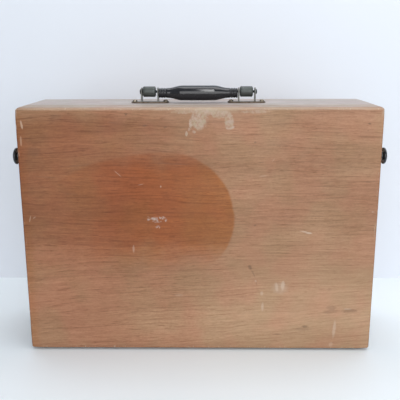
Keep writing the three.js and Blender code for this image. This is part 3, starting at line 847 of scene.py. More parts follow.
def turned(outline, origin, axis, segments=48):
    """Vertices and faces of a turned shape. outline holds (radius, along) in millimetres;
    it starts and ends on the axis, or closes on itself. axis is a signed letter."""
    sign = -1 if axis.startswith("-") else 1
    along = Vector((0, 0, 0))
    along[AXES[axis[-1]]] = sign
    side = Vector((0, 0, 1)) if axis[-1] != "Z" else Vector((1, 0, 0))
    other = along.cross(side)
    closed = (Vector(outline[0]) - Vector(outline[-1])).length < 1e-9
    points = outline[:-1] if closed else outline
    vertices = []
    rings = []
    for radius, height in points:
        centre = origin + along * height * MM
        if radius < 1e-6:
            rings.append([len(vertices)])
            vertices.append(centre)
            continue
        rings.append(list(range(len(vertices), len(vertices) + segments)))
        for i in range(segments):
            turn = 2 * math.pi * i / segments
            out = side * math.cos(turn) + other * math.sin(turn)
            vertices.append(centre + out * radius * MM)
    pairs = list(zip(rings, rings[1:]))
    if closed:
        pairs.append((rings[-1], rings[0]))
    faces = []
    for lower, upper in pairs:
        for i in range(segments):
            j = (i + 1) % segments
            if len(lower) == 1 and len(upper) == 1:
                break
            if len(lower) == 1:
                faces.append((lower[0], upper[j], upper[i]))
            elif len(upper) == 1:
                faces.append((lower[i], lower[j], upper[0]))
            else:
                faces.append((lower[i], lower[j], upper[j], upper[i]))
    return vertices, faces


def turned_piece(
    node, outline, origin, axis, material, body, segments=48, made="turned"
):
    """A turned piece in place of its CAD node; made is the ending of the piece's name."""
    piece = mesh_object(f"{node}_{made}", *turned(outline, origin, axis, segments))
    piece.data.shade_smooth()
    return finish_piece(piece, node, material, body)


def backwards(outline):
    """The same outline run the other way, with its distances along the axis negated."""
    return [(radius, -along) for radius, along in reversed(outline)]


def looped(outline):
    return outline + [outline[0]]


def combine(piece, helper, operation):
    """Joins or cuts the piece's mesh with a helper object's, then deletes the helper."""
    modifier = piece.modifiers.new("combine", "BOOLEAN")
    modifier.operation = operation
    modifier.solver = "EXACT"
    modifier.object = helper
    bpy.context.view_layer.update()
    evaluated = piece.evaluated_get(bpy.context.evaluated_depsgraph_get())
    mesh = bpy.data.meshes.new_from_object(evaluated)
    piece.modifiers.remove(modifier)
    old = piece.data
    piece.data = mesh
    mesh.name = old.name
    bpy.data.meshes.remove(old)
    bpy.data.objects.remove(helper)


def drill(piece, radius, origin, axis, start, end, segments=32):
    """Cuts a round hole of radius mm, from start to end mm along axis from origin."""
    outline = [(0, start), (radius, start), (radius, end), (0, end)]
    helper = mesh_object("drill", *turned(outline, origin, axis, segments))
    combine(piece, helper, "DIFFERENCE")


def block(low, high):
    """Corners and faces of a plain block, a tool for the booleans."""
    corners = [Vector(corner) for corner in itertools.product(*zip(low, high))]
    faces = [(0, 1, 3, 2), (4, 6, 7, 5), (0, 4, 5, 1), (2, 3, 7, 6), (0, 2, 6, 4), (1, 5, 7, 3)]
    return corners, faces


def shade_by_angle(piece, angle):
    """Smooth faces with sharp edges where the surface turns more than angle degrees."""
    mesh = piece.data
    mesh.shade_smooth()
    mesh.set_sharp_from_angle(angle=math.radians(angle))


def arc(cx, cy, radius, start, end, steps):
    """Points of an arc, with angles in degrees."""
    turns = [math.radians(start + (end - start) * i / steps) for i in range(steps + 1)]
    return [(cx + radius * math.cos(t), cy + radius * math.sin(t)) for t in turns]


HOLE_SEGMENTS = 32


def sheet(name, outline, holes, thick, bevel, place):
    """A flat plate with round holes (x, y, radius) as an object. All lengths are in metres;
    place is the matrix from the plate's own X-Y plane to the frame."""
    curve = bpy.data.curves.new(name, "CURVE")
    curve.dimensions = "2D"
    curve.fill_mode = "BOTH"
    curve.extrude = thick / 2 - bevel
    curve.bevel_depth = bevel
    curve.bevel_resolution = 2
    curve.offset = -bevel
    loops = [outline]
    for x, y, radius in holes:
        loops.append(arc(x, y, radius, 0, 360, HOLE_SEGMENTS)[:-1])
    for loop in loops:
        spline = curve.splines.new("POLY")
        spline.points.add(len(loop) - 1)
        for point, (x, y) in zip(spline.points, loop):
            point.co = (x, y, 0, 1)
        spline.use_cyclic_u = True
    helper = bpy.data.objects.new(name, curve)
    bpy.context.scene.collection.objects.link(helper)
    bpy.context.view_layer.update()
    evaluated = helper.evaluated_get(bpy.context.evaluated_depsgraph_get())
    mesh = bpy.data.meshes.new_from_object(evaluated)
    mesh.transform(place)
    if place.determinant() < 0:
        mesh.flip_normals()
    bpy.data.objects.remove(helper)
    weld(mesh)
    piece = bpy.data.objects.new(name, mesh)
    bpy.context.scene.collection.objects.link(piece)
    return piece


WELD_DISTANCE = 0.01 * MM


def weld(mesh):
    """Joins points that almost touch and turns every face outwards."""
    work = bmesh.new()
    work.from_mesh(mesh)
    bmesh.ops.remove_doubles(work, verts=work.verts, dist=WELD_DISTANCE)
    bmesh.ops.recalc_face_normals(work, faces=work.faces)
    work.to_mesh(mesh)
    work.free()


def yz_place(x):
    """From a plate's X-Y plane to the frame's Y-Z plane at x."""
    return Matrix(((0, 0, 1, x), (1, 0, 0, 0), (0, 1, 0, 0), (0, 0, 0, 1)))


def xy_place(z):
    return Matrix.Translation((0, 0, z))


def rounded_bar(start, end, radius, steps=14):
    """Outline of a bar with round ends between two (x, y) points."""
    heading = math.degrees(math.atan2(end[1] - start[1], end[0] - start[0]))
    far = arc(end[0], end[1], radius, heading - 90, heading + 90, steps)
    near = arc(start[0], start[1], radius, heading + 90, heading + 270, steps)
    return far + near


# ---------------------------------------------------------------- the boards


def joinery(part):
    """The four walls of the lid or the base."""
    # The top walls' pale grey tones are partly dust and partly a painted sheen, the grazing
    # reflection of the bright surroundings.
    top_tone_and_sheen = (0.392, 0.290, 0.222) if part == "lid" else (0.380, 0.316, 0.284)
    side_tone = (0.34, 0.20, 0.12)
    under_tone = (0.28, 0.17, 0.10)
    walls = {
        "top": ("X", top_tone_and_sheen, 0.15 if part == "lid" else 0.5, FINE_GRID),
        "bottom": ("X", under_tone, 0.1, COARSE_GRID),
        "left": ("Z", side_tone, 0.0, COARSE_GRID),
        "right": ("Z", side_tone, 0.0, COARSE_GRID),
    }
    made = {}
    for wall, (grain, tone, dust_and_sheen, spacing) in walls.items():
        finish = wood(f"{part}_{wall}_wood", grain, plain_tone(tone), dust_and_sheen=dust_and_sheen)
        made[wall] = board(f"{part}_wall_{wall}", part, finish, spacing)
    return made


STUD_CLEARANCE = 3.3  # mm, radius of the bores round the clamp studs
KNUCKLE_GROOVE = 2.9  # mm, radius
BOARD_SHARP = 35  # degrees


def stud_holes(walls):
    """Clearance holes for the clamp studs through the lid's side walls."""
    for name, side in SIDES:
        origin = on_middle(f"stay_washer_{name}")
        inner, outer = span_from_middle(f"lid_wall_{name}")
        drill(walls[name], STUD_CLEARANCE, origin, side_axis(side), inner - 1, outer + 1)
        shade_by_angle(walls[name], BOARD_SHARP)


def knuckle_relief(wall):
    """Grooves along the seam edge that give the hinge knuckles room."""
    for name, _ in SIDES:
        reach = half_size(f"hinge_base_leaf_{name}", "X") + 0.6
        drill(wall, KNUCKLE_GROOVE, centre_of(f"hinge_pin_{name}"), "X", -reach, reach)
    shade_by_angle(wall, BOARD_SHARP)


def wood_case():
    """The ten boards, with their holes and grooves."""
    lid = joinery("lid")
    base = joinery("base")
    stud_holes(lid)
    knuckle_relief(lid["bottom"])
    knuckle_relief(base["bottom"])
    front = wood("lid_panel_wood", "X", lid_tone_with_painted_light, lid_marks, lid_tilt, lid_calm)
    back = wood("base_panel_wood", "X", plain_tone((0.34, 0.20, 0.125)))
    board("lid_panel", "lid", front, FINE_GRID)
    board("base_panel", "base", back, COARSE_GRID)


def divider_material(name, grain):
    """Bare wood with patches of dirt, soiled along its edges towards the lid."""
    shader = Shader(name)
    position = shader.position()
    lines = grain_coordinates(shader, position, grain, 8)
    colour, relief = wood_figure(shader, lines, (0.52, 0.35, 0.20), 0.8)
    edge_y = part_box("divider_long")[0].y / MM
    soiled = shader.step(position[1], edge_y + 14, edge_y)
    colour = shader.mix(shader.times(soiled, 0.45), colour, (0.22, 0.15, 0.10))
    dirt = shader.noise(shader.vector(*position), 0.05, detail=5, roughness=0.7)
    colour = shader.mix(shader.step(dirt, 0.5, 0.75, 0.0, 0.4), colour, (0.25, 0.18, 0.13))
    shader.set(
        Base_Color=colour,
        Roughness=0.72,
        Normal=shader.bump(relief, 0.4, 0.25 * MM),
    )
    return shader.material


def dividers():
    along = divider_material("divider_long_wood", "X")
    across = divider_material("divider_cross_wood", "Z")
    board("divider_long", "base", along)
    board("divider_cross_left", "base", across)
    board("divider_cross_right", "base", across)


# ---------------------------------------------------------------- the handle
# Outlines of turned parts are (radius, distance along the axis) in millimetres.

HANDLE = centre_of("handle_rod")
HANDLE_X, HANDLE_Y, ROD_Z = HANDLE
TOP_Z = WOOD_HIGH.z

GRIP_BORE = 3.5
GRIP_CROWN = 0.05  # how much the belly swells in its middle
GRIP_NECK = 0.66  # of the belly's radius
GRIP_FLAT, GRIP_TAPER = 0.40, 0.77  # where belly and shoulder end, of half the length
GRIP_RINGS = {"first": 41.0, "pitch": 3.2, "count": 3, "depth": 0.55, "width": 0.9}
GROOVE_STEPS = (-1, -0.72, -0.4, 0, 0.4, 0.72, 1)


def grip_outline():
    """Profile of the turned grip about its own middle: belly, slim necks, three rings a side."""
    belly, half = half_size("handle_grip", "Z"), half_size("handle_grip", "X")
    neck = GRIP_NECK * belly
    flat, taper = GRIP_FLAT * half, GRIP_TAPER * half
    points = [(belly - GRIP_CROWN * (i / 8) ** 2, flat * i / 8) for i in range(9)]
    shoulder = belly - GRIP_CROWN
    for i in range(1, 15):
        t = i / 14
        points.append((shoulder - (shoulder - neck) * ramp(t, 0, 1), flat + (taper - flat) * t))
    for i in range(GRIP_RINGS["count"]):
        middle = GRIP_RINGS["first"] + i * GRIP_RINGS["pitch"]
        for t in GROOVE_STEPS:
            groove = max(math.cos(t * math.pi / 2), 0) ** 0.6
            points.append((neck - GRIP_RINGS["depth"] * groove, middle + t * GRIP_RINGS["width"]))
    points += [(neck, half - 0.9), (neck - 0.25, half - 0.35), (neck - 0.8, half)]
    points += [(GRIP_BORE + 0.4, half), (GRIP_BORE, half - 0.4)]
    return looped(backwards(points)[:-1] + points)


def handle_grip():
    turned_piece(
        "handle_grip", grip_outline(), centre_of("handle_grip"), "X",
        black_plastic("grip_plastic", 0.07), "handle_grip", 96, "moulding",
    )


CAP_BORE = 1.8


def cap_outline(node):
    """A short cylinder with one broad chamfer at each end and softened corners."""
    half, radius = half_size(node, "X"), half_size(node, "Z")
    points = [
        (CAP_BORE, half - 0.3), (CAP_BORE + 0.3, half), (radius - 1.45, half),
        (radius - 1.2, half - 0.1), (radius - 0.18, half - 1.05), (radius, half - 1.35),
        (radius - 0.04, half * 0.5), (radius - 0.05, 0),
    ]
    return looped(points + backwards(points[:-1]))


def handle_caps(finish):
    for name, _ in SIDES:
        node = f"handle_cap_{name}"
        turned_piece(
            node, cap_outline(node), centre_of(node), "X", finish, node, 72
        )


def dome(radius, base, rise, steps=7):
    """Outline points of a domed head from its rim to the axis."""
    points = []
    for i in range(steps):
        turn = i / steps * math.pi / 2
        points.append((radius * math.cos(turn), base + rise * math.sin(turn)))
    return points + [(0, base + rise)]


ROD_RADIUS = 1.5
ROD_HEAD_RISE = 1.6


def handle_rod(finish):
    head = half_size("handle_rod", "Z")
    seat = half_size("handle_rod", "X") - ROD_HEAD_RISE
    side = [(ROD_RADIUS, seat), (head - 0.15, seat)]
    side += dome(head, seat + 0.25, ROD_HEAD_RISE - 0.25)
    outline = backwards(side) + side
    turned_piece("handle_rod", outline, HANDLE, "X", finish, "base")


BRACKET_THICK = 1.6 * MM
BRACKET_HOLE = 1.7 * MM
ROD_HOLE = 1.8 * MM
EAR_REACH = (51.1 * MM, 71.7 * MM)  # of the inner and outer ear, from the handle's middle
EAR_RADIUS = 5 * MM
EAR_FOOT = 6.5 * MM
EAR_BASE = 0.3 * MM  # above the wood
FOOT_HEIGHT = 0.9 * MM


def ear_outline():
    """Outline of a bracket ear in the Y-Z plane: a wide foot, straight flanks, a round head."""
    base_z = TOP_Z + EAR_BASE
    foot_z = base_z + FOOT_HEIGHT
    left_foot = [(HANDLE_Y - EAR_FOOT, foot_z), (HANDLE_Y - EAR_FOOT, base_z)]
    right_foot = [(HANDLE_Y + EAR_FOOT, base_z), (HANDLE_Y + EAR_FOOT, foot_z)]
    return left_foot + right_foot + arc(HANDLE_Y, ROD_Z, EAR_RADIUS, -12, 192, 22)


def handle_bracket(name, side, finish):
    """A plate with round ends, screwed to the wood, and its two ears for the rod."""
    node = f"handle_bracket_{name}"
    low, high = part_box(node)
    half_width = (high.y - low.y) / 2
    ends = sorted((abs(low.x - HANDLE_X), abs(high.x - HANDLE_X)))
    near = (HANDLE_X + side * (ends[0] + half_width), HANDLE_Y)
    far = (HANDLE_X + side * (ends[1] - half_width), HANDLE_Y)
    screws = [centre_of(f"bracket_screw_{i}") for i in range(1, 5)]
    holes = [(s.x, s.y, BRACKET_HOLE) for s in screws if (s.x - HANDLE_X) * side > 0]
    outline = rounded_bar(near, far, half_width)
    place = xy_place(low.z + BRACKET_THICK / 2)
    piece = sheet(f"{node}_plate", outline, holes, BRACKET_THICK, 0.35 * MM, place)
    rod_hole = (HANDLE_Y, ROD_Z, ROD_HOLE)
    for reach in EAR_REACH:
        place = yz_place(HANDLE_X + side * reach)
        ear = sheet("ear", ear_outline(), [rod_hole], BRACKET_THICK, 0.3 * MM, place)
        combine(piece, ear, "UNION")
    modifier = piece.modifiers.new("soft", "BEVEL")
    modifier.width = 0.25 * MM
    modifier.segments = 2
    modifier.limit_method = "ANGLE"
    modifier.angle_limit = math.radians(50)
    shade_by_angle(piece, 40)
    return finish_piece(piece, node, finish, "base")


def slotted_head(node, outline, axis, turn, slot, finish, body):
    """A turned screw with a straight slot (width, depth) in mm cut in the end of its head,
    where its outline ends."""
    index = AXES[axis[-1]]
    origin = centre_of(node)
    origin[index] = 0
    piece = mesh_object(f"{node}_turned", *turned(outline, origin, axis, 40))
    width, depth = slot
    reach = max(r for r, _ in outline) + 1
    corners, sides = block((-reach, -width / 2, -depth), (reach, width / 2, depth))
    spin = Matrix.Rotation(turn, 4, "Z")
    if axis[-1] == "X":
        spin = Matrix.Rotation(math.pi / 2, 4, "Y") @ spin
    place = Matrix.Translation(origin) @ Matrix.Diagonal((MM, MM, MM, 1))
    lift = Vector((0, 0, 0))
    lift[index] = -outline[-1][1] if axis.startswith("-") else outline[-1][1]
    moved = [place @ (spin @ corner + lift) for corner in corners]
    combine(piece, mesh_object("slot", moved, sides), "DIFFERENCE")
    shade_by_angle(piece, 45)
    return finish_piece(piece, node, finish, body)


SCREW_TURNS = (0.12, -0.3, 0.2, -0.08, 0.5, -0.6, 0.25, 0.9)  # of the slots, in radians
BRACKET_HEAD_RISE = 2.3


def bracket_screws(finish):
    for i in range(1, 5):
        node = f"bracket_screw_{i}"
        low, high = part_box(node)
        head = half_size(node, "X")
        tip, seat = low.z / MM, high.z / MM - BRACKET_HEAD_RISE
        outline = [(0, tip), (0.5, tip + 1.2), (1.4, tip + 3.2), (1.4, seat), (head - 0.12, seat)]
        outline += dome(head, seat + 0.15, BRACKET_HEAD_RISE - 0.15, 9)
        slotted_head(
            node, outline, "Z", SCREW_TURNS[i], (0.8, 0.95), finish, "base"
        )


def plating_brown_near_wood():
    """Dark bracket plating, browner and less metallic close to the wood."""
    shader = Shader("bracket_plating")
    x, y, z = shader.position()
    everywhere = shader.vector(x, y, z)
    foot = TOP_Z / MM
    uneven = shader.noise(everywhere, 0.3, detail=4, roughness=0.65)
    # Browner and less metallic within about two millimetres of the wood.
    near_wood = shader.step(shader.scaled(uneven, -3, z), foot + 1.6, foot - 0.4)
    clean = shader.mix(shader.step(uneven, 0.45, 0.7), (0.17, 0.175, 0.165), (0.09, 0.085, 0.075))
    brown_tone = shader.mix(shader.step(uneven, 0.40, 0.62), (0.19, 0.14, 0.10), (0.085, 0.06, 0.04))
    grain = shader.noise(everywhere, 3.0, detail=3)
    shader.set(
        Base_Color=shader.mix(near_wood, clean, brown_tone),
        Metallic=shader.step(near_wood, 0.0, 1.0, 0.9, 0.35),
        Roughness=shader.scaled(grain, 0.2, 0.38),
        Normal=shader.bump(grain, 0.12, 0.05 * MM),
    )
    return shader.material


def handle():
    plating = plating_brown_near_wood()
    screw_tone = metal("bracket_screw_metal", (0.30, 0.26, 0.20), (0.05, 0.04, 0.03), 0.27, 0.75)
    cap_tone = painted_metal("cap_paint", (0.064, 0.073, 0.070), (0.13, 0.14, 0.135))
    rod_tone = metal("rod_metal", (0.07, 0.08, 0.085), (0.04, 0.04, 0.04), 0.40)
    handle_grip()
    handle_caps(cap_tone)
    handle_rod(rod_tone)
    for name, side in SIDES:
        handle_bracket(name, side, plating)
    bracket_screws(screw_tone)
    return rod_tone


# ---------------------------------------------------------------- clamps and stays
# Lengths along a side piece's axis are millimetres from the plane X = 0.

STUD_AXIS = on_middle("knob_left")
STUD_RADIUS = 3.0
WALL_OUT = WOOD_HIGH.x / MM
WALL_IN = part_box("divider_long")[1].x / MM


KNOB_BORE = 3.25
KNOB_FACE = 2.2  # thickness left over the end of the bore
COLLAR = 5.2  # radius
KNOB_BACK = 6.0  # from the wall to the back of the knob's disc


def knob_outline(node):
    """Mushroom knob: collar, waist, flat back with a soft rim, domed face, bored for the stud."""
    radius = half_size(node, "Z")
    start, reach = span_from_middle(node)
    back = WALL_OUT + KNOB_BACK
    bottom = reach - KNOB_FACE
    outline = [(0, bottom), (KNOB_BORE, bottom), (KNOB_BORE, start + 0.3), (3.5, start)]
    outline += [(COLLAR - 0.3, start), (COLLAR, start + 0.25), (COLLAR, start + 0.9)]
    for t in (0.25, 0.5, 0.75, 1.0):
        waist = COLLAR - 0.5 * math.sin(t * math.pi)
        outline.append((waist, start + 0.9 + (back - 1.1 - start) * t))
    outline += [(5.6, back - 0.15), (6.4, back), (radius - 0.9, back + 0.05)]
    outline += arc(radius - 0.75, back + 0.8, 0.75, -75, 0, 5)
    base = back + 1.5
    for i in range(13):
        turn = i / 12 * math.pi / 2
        flat = math.cos(turn) ** 0.9 if i < 12 else 0
        outline.append((radius * flat, base + (reach - base) * math.sin(turn)))
    return outline


def softened_ring(inner, outer, start, end, soft=0.25):
    near = [(inner, start + soft), (inner + soft, start), (outer - soft, start)]
    far = [(outer - soft, end), (inner + soft, end), (inner, end - soft)]
    return looped(near + [(outer, start + soft), (outer, end - soft)] + far)


def ring_from(node, inner, side, finish, body):
    """A turned washer or bush over its CAD node."""
    outline = softened_ring(inner, half_size(node, "Z"), *span_from_middle(node))
    turned_piece(node, outline, on_middle(node), side_axis(side), finish, body)


THREAD_PITCH = 0.8
THREAD_DEPTH = 0.32


def threaded_stud(name, side, finish):
    """Clamp stud: threaded where the nut sits, plain through the wall and in the knob."""
    node = f"knob_stud_{name}"
    start, end = span_from_middle(node)
    root = STUD_RADIUS - THREAD_DEPTH
    outline = [(0, start), (STUD_RADIUS - 0.7, start), (STUD_RADIUS - 0.35, start + 0.35)]
    along = start + 0.5
    while along < WALL_IN - 1.2:
        outline += [(root, along), (STUD_RADIUS, along + THREAD_DEPTH)]
        outline.append((root, along + 2 * THREAD_DEPTH))
        along += THREAD_PITCH
    outline += [(STUD_RADIUS, along), (STUD_RADIUS, end - 0.4), (STUD_RADIUS - 0.4, end), (0, end)]
    turned_piece(
        node, outline, STUD_AXIS, side_axis(side), finish, f"knob_{name}", 40
    )


NUT_CHAMFER = 1.15  # of the drop from a corner to the middle of a flat
NUT_BORE = 3.2


def hex_nut(name, side, finish):
    """Hexagonal nut with chamfered corners: a turned blank cut to six flats, then bored."""
    node = f"stud_nut_{name}"
    axis = side_axis(side)
    start, end = span_from_middle(node)
    corner = max(half_size(node, "Z"), half_size(node, "Y"))
    chamfer = corner * (1 - math.cos(math.pi / 6)) * NUT_CHAMFER
    blank = [
        (0, start), (corner - chamfer, start), (corner, start + 0.5 * chamfer),
        (corner, end - 0.2), (corner - 0.2, end), (0, end),
    ]
    piece = mesh_object(f"{node}_forged", *turned(blank, STUD_AXIS, axis, 48))
    prism = [(0, start - 1), (corner, start - 1), (corner, end + 1), (0, end + 1)]
    combine(piece, mesh_object("prism", *turned(prism, STUD_AXIS, axis, 6)), "INTERSECT")
    drill(piece, NUT_BORE, STUD_AXIS, axis, start - 1, end + 1)
    shade_by_angle(piece, 25)
    finish_piece(piece, node, finish, f"stay_link_{name}")


def stay_bar(node, ends, radius, holes, finish):
    """A flat stay strip with round ends over its CAD node, on the body of the same name."""
    low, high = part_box(node)
    outline = rounded_bar(*ends, radius)
    place = yz_place((low.x + high.x) / 2)
    piece = sheet(f"{node}_strip", outline, holes, high.x - low.x, 0.3 * MM, place)
    shade_by_angle(piece, 40)
    finish_piece(piece, node, finish, node)


PIN_HOLE = 2.2 * MM
STUD_HOLE = 3.2 * MM
BUSH_BORE = 2.3
ARM_RADIUS = 5 * MM
LINK_RADIUS = 6 * MM


def stays():
    """In each end: arm and link, their rivet, screw and bush, and the clamp with its knob."""
    strip = metal("stay_brass_metal", (0.52, 0.42, 0.24), (0.24, 0.17, 0.09), 0.34)
    rivet_tone = metal("rivet_brass_metal", (0.50, 0.40, 0.24), (0.20, 0.14, 0.08), 0.36)
    zinc = metal("zinc_metal", (0.50, 0.50, 0.49), (0.25, 0.24, 0.22), 0.38)
    washer_tone = metal("washer_brass_metal", (0.45, 0.37, 0.24), (0.20, 0.15, 0.09), 0.38)
    knob_tone = black_plastic("knob_plastic", 0.14)
    for name, side in SIDES:
        pivot = centre_of(f"stay_bush_{name}").yz
        elbow = centre_of(f"elbow_rivet_{name}").yz
        stud = STUD_AXIS.yz
        pivot_hole, elbow_hole = (*pivot, PIN_HOLE), (*elbow, PIN_HOLE)
        arm_holes = (pivot_hole, elbow_hole)
        link_holes = ((*stud, STUD_HOLE), elbow_hole)
        stay_bar(f"stay_arm_{name}", (pivot, elbow), ARM_RADIUS, arm_holes, strip)
        stay_bar(f"stay_link_{name}", (stud, elbow), LINK_RADIUS, link_holes, strip)
        elbow_rivet(name, side, rivet_tone)
        pivot_screw(name, side, rivet_tone)
        ring_from(f"stay_bush_{name}", BUSH_BORE, side, rivet_tone, "base")
        ring_from(f"stay_washer_{name}", STUD_CLEARANCE, side, zinc, "lid")
        ring_from(f"knob_washer_{name}", STUD_CLEARANCE, side, washer_tone, "lid")
        hex_nut(name, side, zinc)
        threaded_stud(name, side, zinc)
        knob = f"knob_{name}"
        turned_piece(
            knob, knob_outline(knob), STUD_AXIS, side_axis(side), knob_tone, knob,
            72, "moulding",
        )


PIN_RADIUS = 2.0
RIVET_HEAD_RISE = 1.3
RIVET_TAIL_RISE = 0.9
RIVET_TAIL = 3.5  # radius
PIVOT_HEAD_RISE = 1.8


def elbow_rivet(name, side, finish):
    """Rivet through arm and link, with a domed head inside and a smaller one outside."""
    node = f"elbow_rivet_{name}"
    start, end = span_from_middle(node)
    head = half_size(node, "Z")
    inner, outer = start + RIVET_HEAD_RISE, end - RIVET_TAIL_RISE
    outline = backwards(dome(head, -inner + 0.2, RIVET_HEAD_RISE - 0.2))
    outline += [(head - 0.15, inner), (PIN_RADIUS, inner), (PIN_RADIUS, outer)]
    outline.append((RIVET_TAIL - 0.1, outer))
    outline += dome(RIVET_TAIL, outer + 0.15, RIVET_TAIL_RISE - 0.15)
    turned_piece(
        node, outline, on_middle(node), side_axis(side), finish, f"stay_link_{name}",
        40,
    )


def pivot_screw(name, side, finish):
    """Screw that holds a stay arm to the base's wall, its head inside the box."""
    node = f"stay_pivot_screw_{name}"
    start, end = span_from_middle(node)
    head = half_size(node, "Z")
    seat = start + PIVOT_HEAD_RISE
    outline = backwards(dome(head, -seat + 0.2, PIVOT_HEAD_RISE - 0.2))
    outline += [(head - 0.15, seat), (PIN_RADIUS, seat), (PIN_RADIUS, end - 2.5)]
    outline += [(0.6, end), (0, end)]
    slotted_head(
        node, backwards(outline), side_axis(-side), 0.4 * side, (0.9, 0.8), finish, "base",
    )


# ---------------------------------------------------------------- hinges and glides

LEAF_TOP = WOOD_LOW.z - 0.25 * MM
LEAF_THICK = 1.2 * MM
LEAF_START = 2.6 * MM  # from the pin's axis to the leaf's near edge
LEAF_CORNER = 1.6 * MM
KNUCKLE_RADIUS = 2.3 * MM
KNUCKLE_BORE = 1.25 * MM
KNUCKLE_COUNT = 5
KNUCKLE_GAP = 0.3 * MM
TONGUE_INSET = 0.03 * MM  # keeps the tongue's faces off the leaf's when the two are joined
TONGUE_REACH = 0.3 * MM  # into the leaf
SINK_HOLE = 2.2 * MM


def knuckle_outline(pin, direction):
    """Section of a rolled knuckle and the tongue that joins it to its leaf, in the Y-Z plane."""
    top = LEAF_TOP - TONGUE_INSET - pin.z
    bottom = LEAF_TOP - LEAF_THICK + TONGUE_INSET - pin.z
    upper = math.degrees(math.asin(top / KNUCKLE_RADIUS))
    lower = math.degrees(math.asin(bottom / KNUCKLE_RADIUS))
    reach = LEAF_START + TONGUE_REACH
    section = [(reach, top)] + arc(0, 0, KNUCKLE_RADIUS, upper, 360 + lower, 30)
    section += [(reach, bottom)]
    placed = [(pin.y + direction * y, pin.z + z) for y, z in section]
    return placed if direction > 0 else placed[::-1]


def leaf_outline(x0, x1, near, far, direction):
    """Rectangle with its two far corners rounded."""
    inner_y = far - direction * LEAF_CORNER
    if direction > 0:
        right = arc(x1 - LEAF_CORNER, inner_y, LEAF_CORNER, 0, 90, 5)
        left = arc(x0 + LEAF_CORNER, inner_y, LEAF_CORNER, 90, 180, 5)
        return [(x0, near), (x1, near)] + right + left
    left = arc(x0 + LEAF_CORNER, inner_y, LEAF_CORNER, 180, 270, 5)
    right = arc(x1 - LEAF_CORNER, inner_y, LEAF_CORNER, 270, 360, 5)
    return [(x1, near), (x0, near)] + left + right


def hinge_leaf(part, name, finish):
    """A leaf cut from sheet with rolled knuckles, countersunk for its two screws."""
    node = f"hinge_{part}_leaf_{name}"
    low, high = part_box(node)
    pin = centre_of(f"hinge_pin_{name}")
    direction = 1 if part == "base" else -1
    near = pin.y + direction * LEAF_START
    far = high.y if direction > 0 else low.y
    full_low, full_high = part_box(f"hinge_base_leaf_{name}")
    x0, x1 = full_low.x, full_high.x
    outline = leaf_outline(x0, x1, near, far, direction)
    screws = [centre_of(f"hinge_{part}_screw_{i}") for i in range(1, 5)]
    screws = [screw for screw in screws if x0 < screw.x < x1]
    holes = [(screw.x, screw.y, SINK_HOLE) for screw in screws]
    place = xy_place(LEAF_TOP - LEAF_THICK / 2)
    piece = sheet(f"{node}_plate", outline, holes, LEAF_THICK, 0.2 * MM, place)
    bottom = (LEAF_TOP - LEAF_THICK) / MM
    cone = [(0, bottom - 0.5), (3.6, bottom - 0.5), (3.1, bottom), (1.6, bottom + 1.5)]
    cone += [(0, bottom + 1.5)]
    for screw in screws:
        sink = turned(cone, Vector((screw.x, screw.y, 0)), "Z", 32)
        combine(piece, mesh_object("sink", *sink), "DIFFERENCE")
        weld(piece.data)
    pitch = (x1 - x0) / KNUCKLE_COUNT
    section = knuckle_outline(pin, direction)
    bore = (pin.y, pin.z, KNUCKLE_BORE)
    for i in range(0 if direction > 0 else 1, KNUCKLE_COUNT, 2):
        place = yz_place(x0 + (i + 0.5) * pitch)
        length = pitch - KNUCKLE_GAP
        combine(piece, sheet("knuckle", section, [bore], length, 0.12 * MM, place), "UNION")
        weld(piece.data)
    shade_by_angle(piece, 35)
    return finish_piece(piece, node, finish, part)


SHANK = 1.2  # radius of a hinge screw or glide pin


def hinge_screw(part, i, finish):
    """Countersunk screw, its head down."""
    node = f"hinge_{part}_screw_{i}"
    low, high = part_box(node)
    head = half_size(node, "X")
    bottom, tip = low.z / MM, high.z / MM
    outline = [(0, bottom), (head - 0.1, bottom), (head, bottom + 0.08)]
    outline += [(SHANK, bottom + head - SHANK), (SHANK, tip - 2.4), (0.4, tip - 0.3), (0, tip)]
    turn = SCREW_TURNS[i - 1] + (0.7 if part == "lid" else 0)
    slotted_head(
        node, backwards(outline), "-Z", turn, (0.75, 0.6), finish, part
    )


def hinge_pin(name, finish):
    node = f"hinge_pin_{name}"
    half = half_size(node, "X")
    end = [(1, half - 0.3), (0.7, half), (0, half)]
    turned_piece(
        node, backwards(end) + end, centre_of(node), "X", finish, "base", 24
    )


def hinges(rod_tone):
    brass = metal("hinge_brass_metal", (0.50, 0.40, 0.22), (0.20, 0.14, 0.08), 0.38, 0.65)
    screw_tone = metal("hinge_screw_metal", (0.46, 0.38, 0.22), (0.15, 0.11, 0.07), 0.40)
    for name, _ in SIDES:
        hinge_leaf("base", name, brass)
        hinge_leaf("lid", name, brass)
        hinge_pin(name, rod_tone)
    for part in ("base", "lid"):
        for i in range(1, 5):
            hinge_screw(part, i, screw_tone)


def glides():
    """Domed nail glides, driven up into the base's bottom wall."""
    nickel = metal("glide_metal", (0.42, 0.42, 0.41), (0.20, 0.19, 0.17), 0.36)
    for name, _ in SIDES:
        node = f"glide_{name}"
        radius = half_size(node, "X")
        seat = WOOD_LOW.z / MM - 0.25
        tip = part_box(node)[1].z / MM
        outline = backwards(dome(radius, -seat + 0.5, seat - 0.5, 9))
        outline += [(radius - 0.2, seat), (SHANK, seat), (SHANK, tip - 1.2), (0, tip)]
        middle = centre_of(node)
        origin = Vector((middle.x, middle.y, 0))
        turned_piece(
            node, outline, origin, "Z", nickel, "base", 56, "pressed"
        )


# ---------------------------------------------------------------- stage


def clear_from_behind(shader):
    """Makes a stage card see-through from its back, so that it never hides the box."""
    tree = shader.tree
    clear = tree.nodes.new("ShaderNodeBsdfTransparent")
    blend = tree.nodes.new("ShaderNodeMixShader")
    geometry = tree.nodes.new("ShaderNodeNewGeometry")
    tree.links.new(geometry.outputs["Backfacing"], blend.inputs[0])
    tree.links.new(shader.surface.outputs[0], blend.inputs[1])
    tree.links.new(clear.outputs[0], blend.inputs[2])
    tree.links.new(blend.outputs[0], shader.output.inputs[0])
    return shader.material


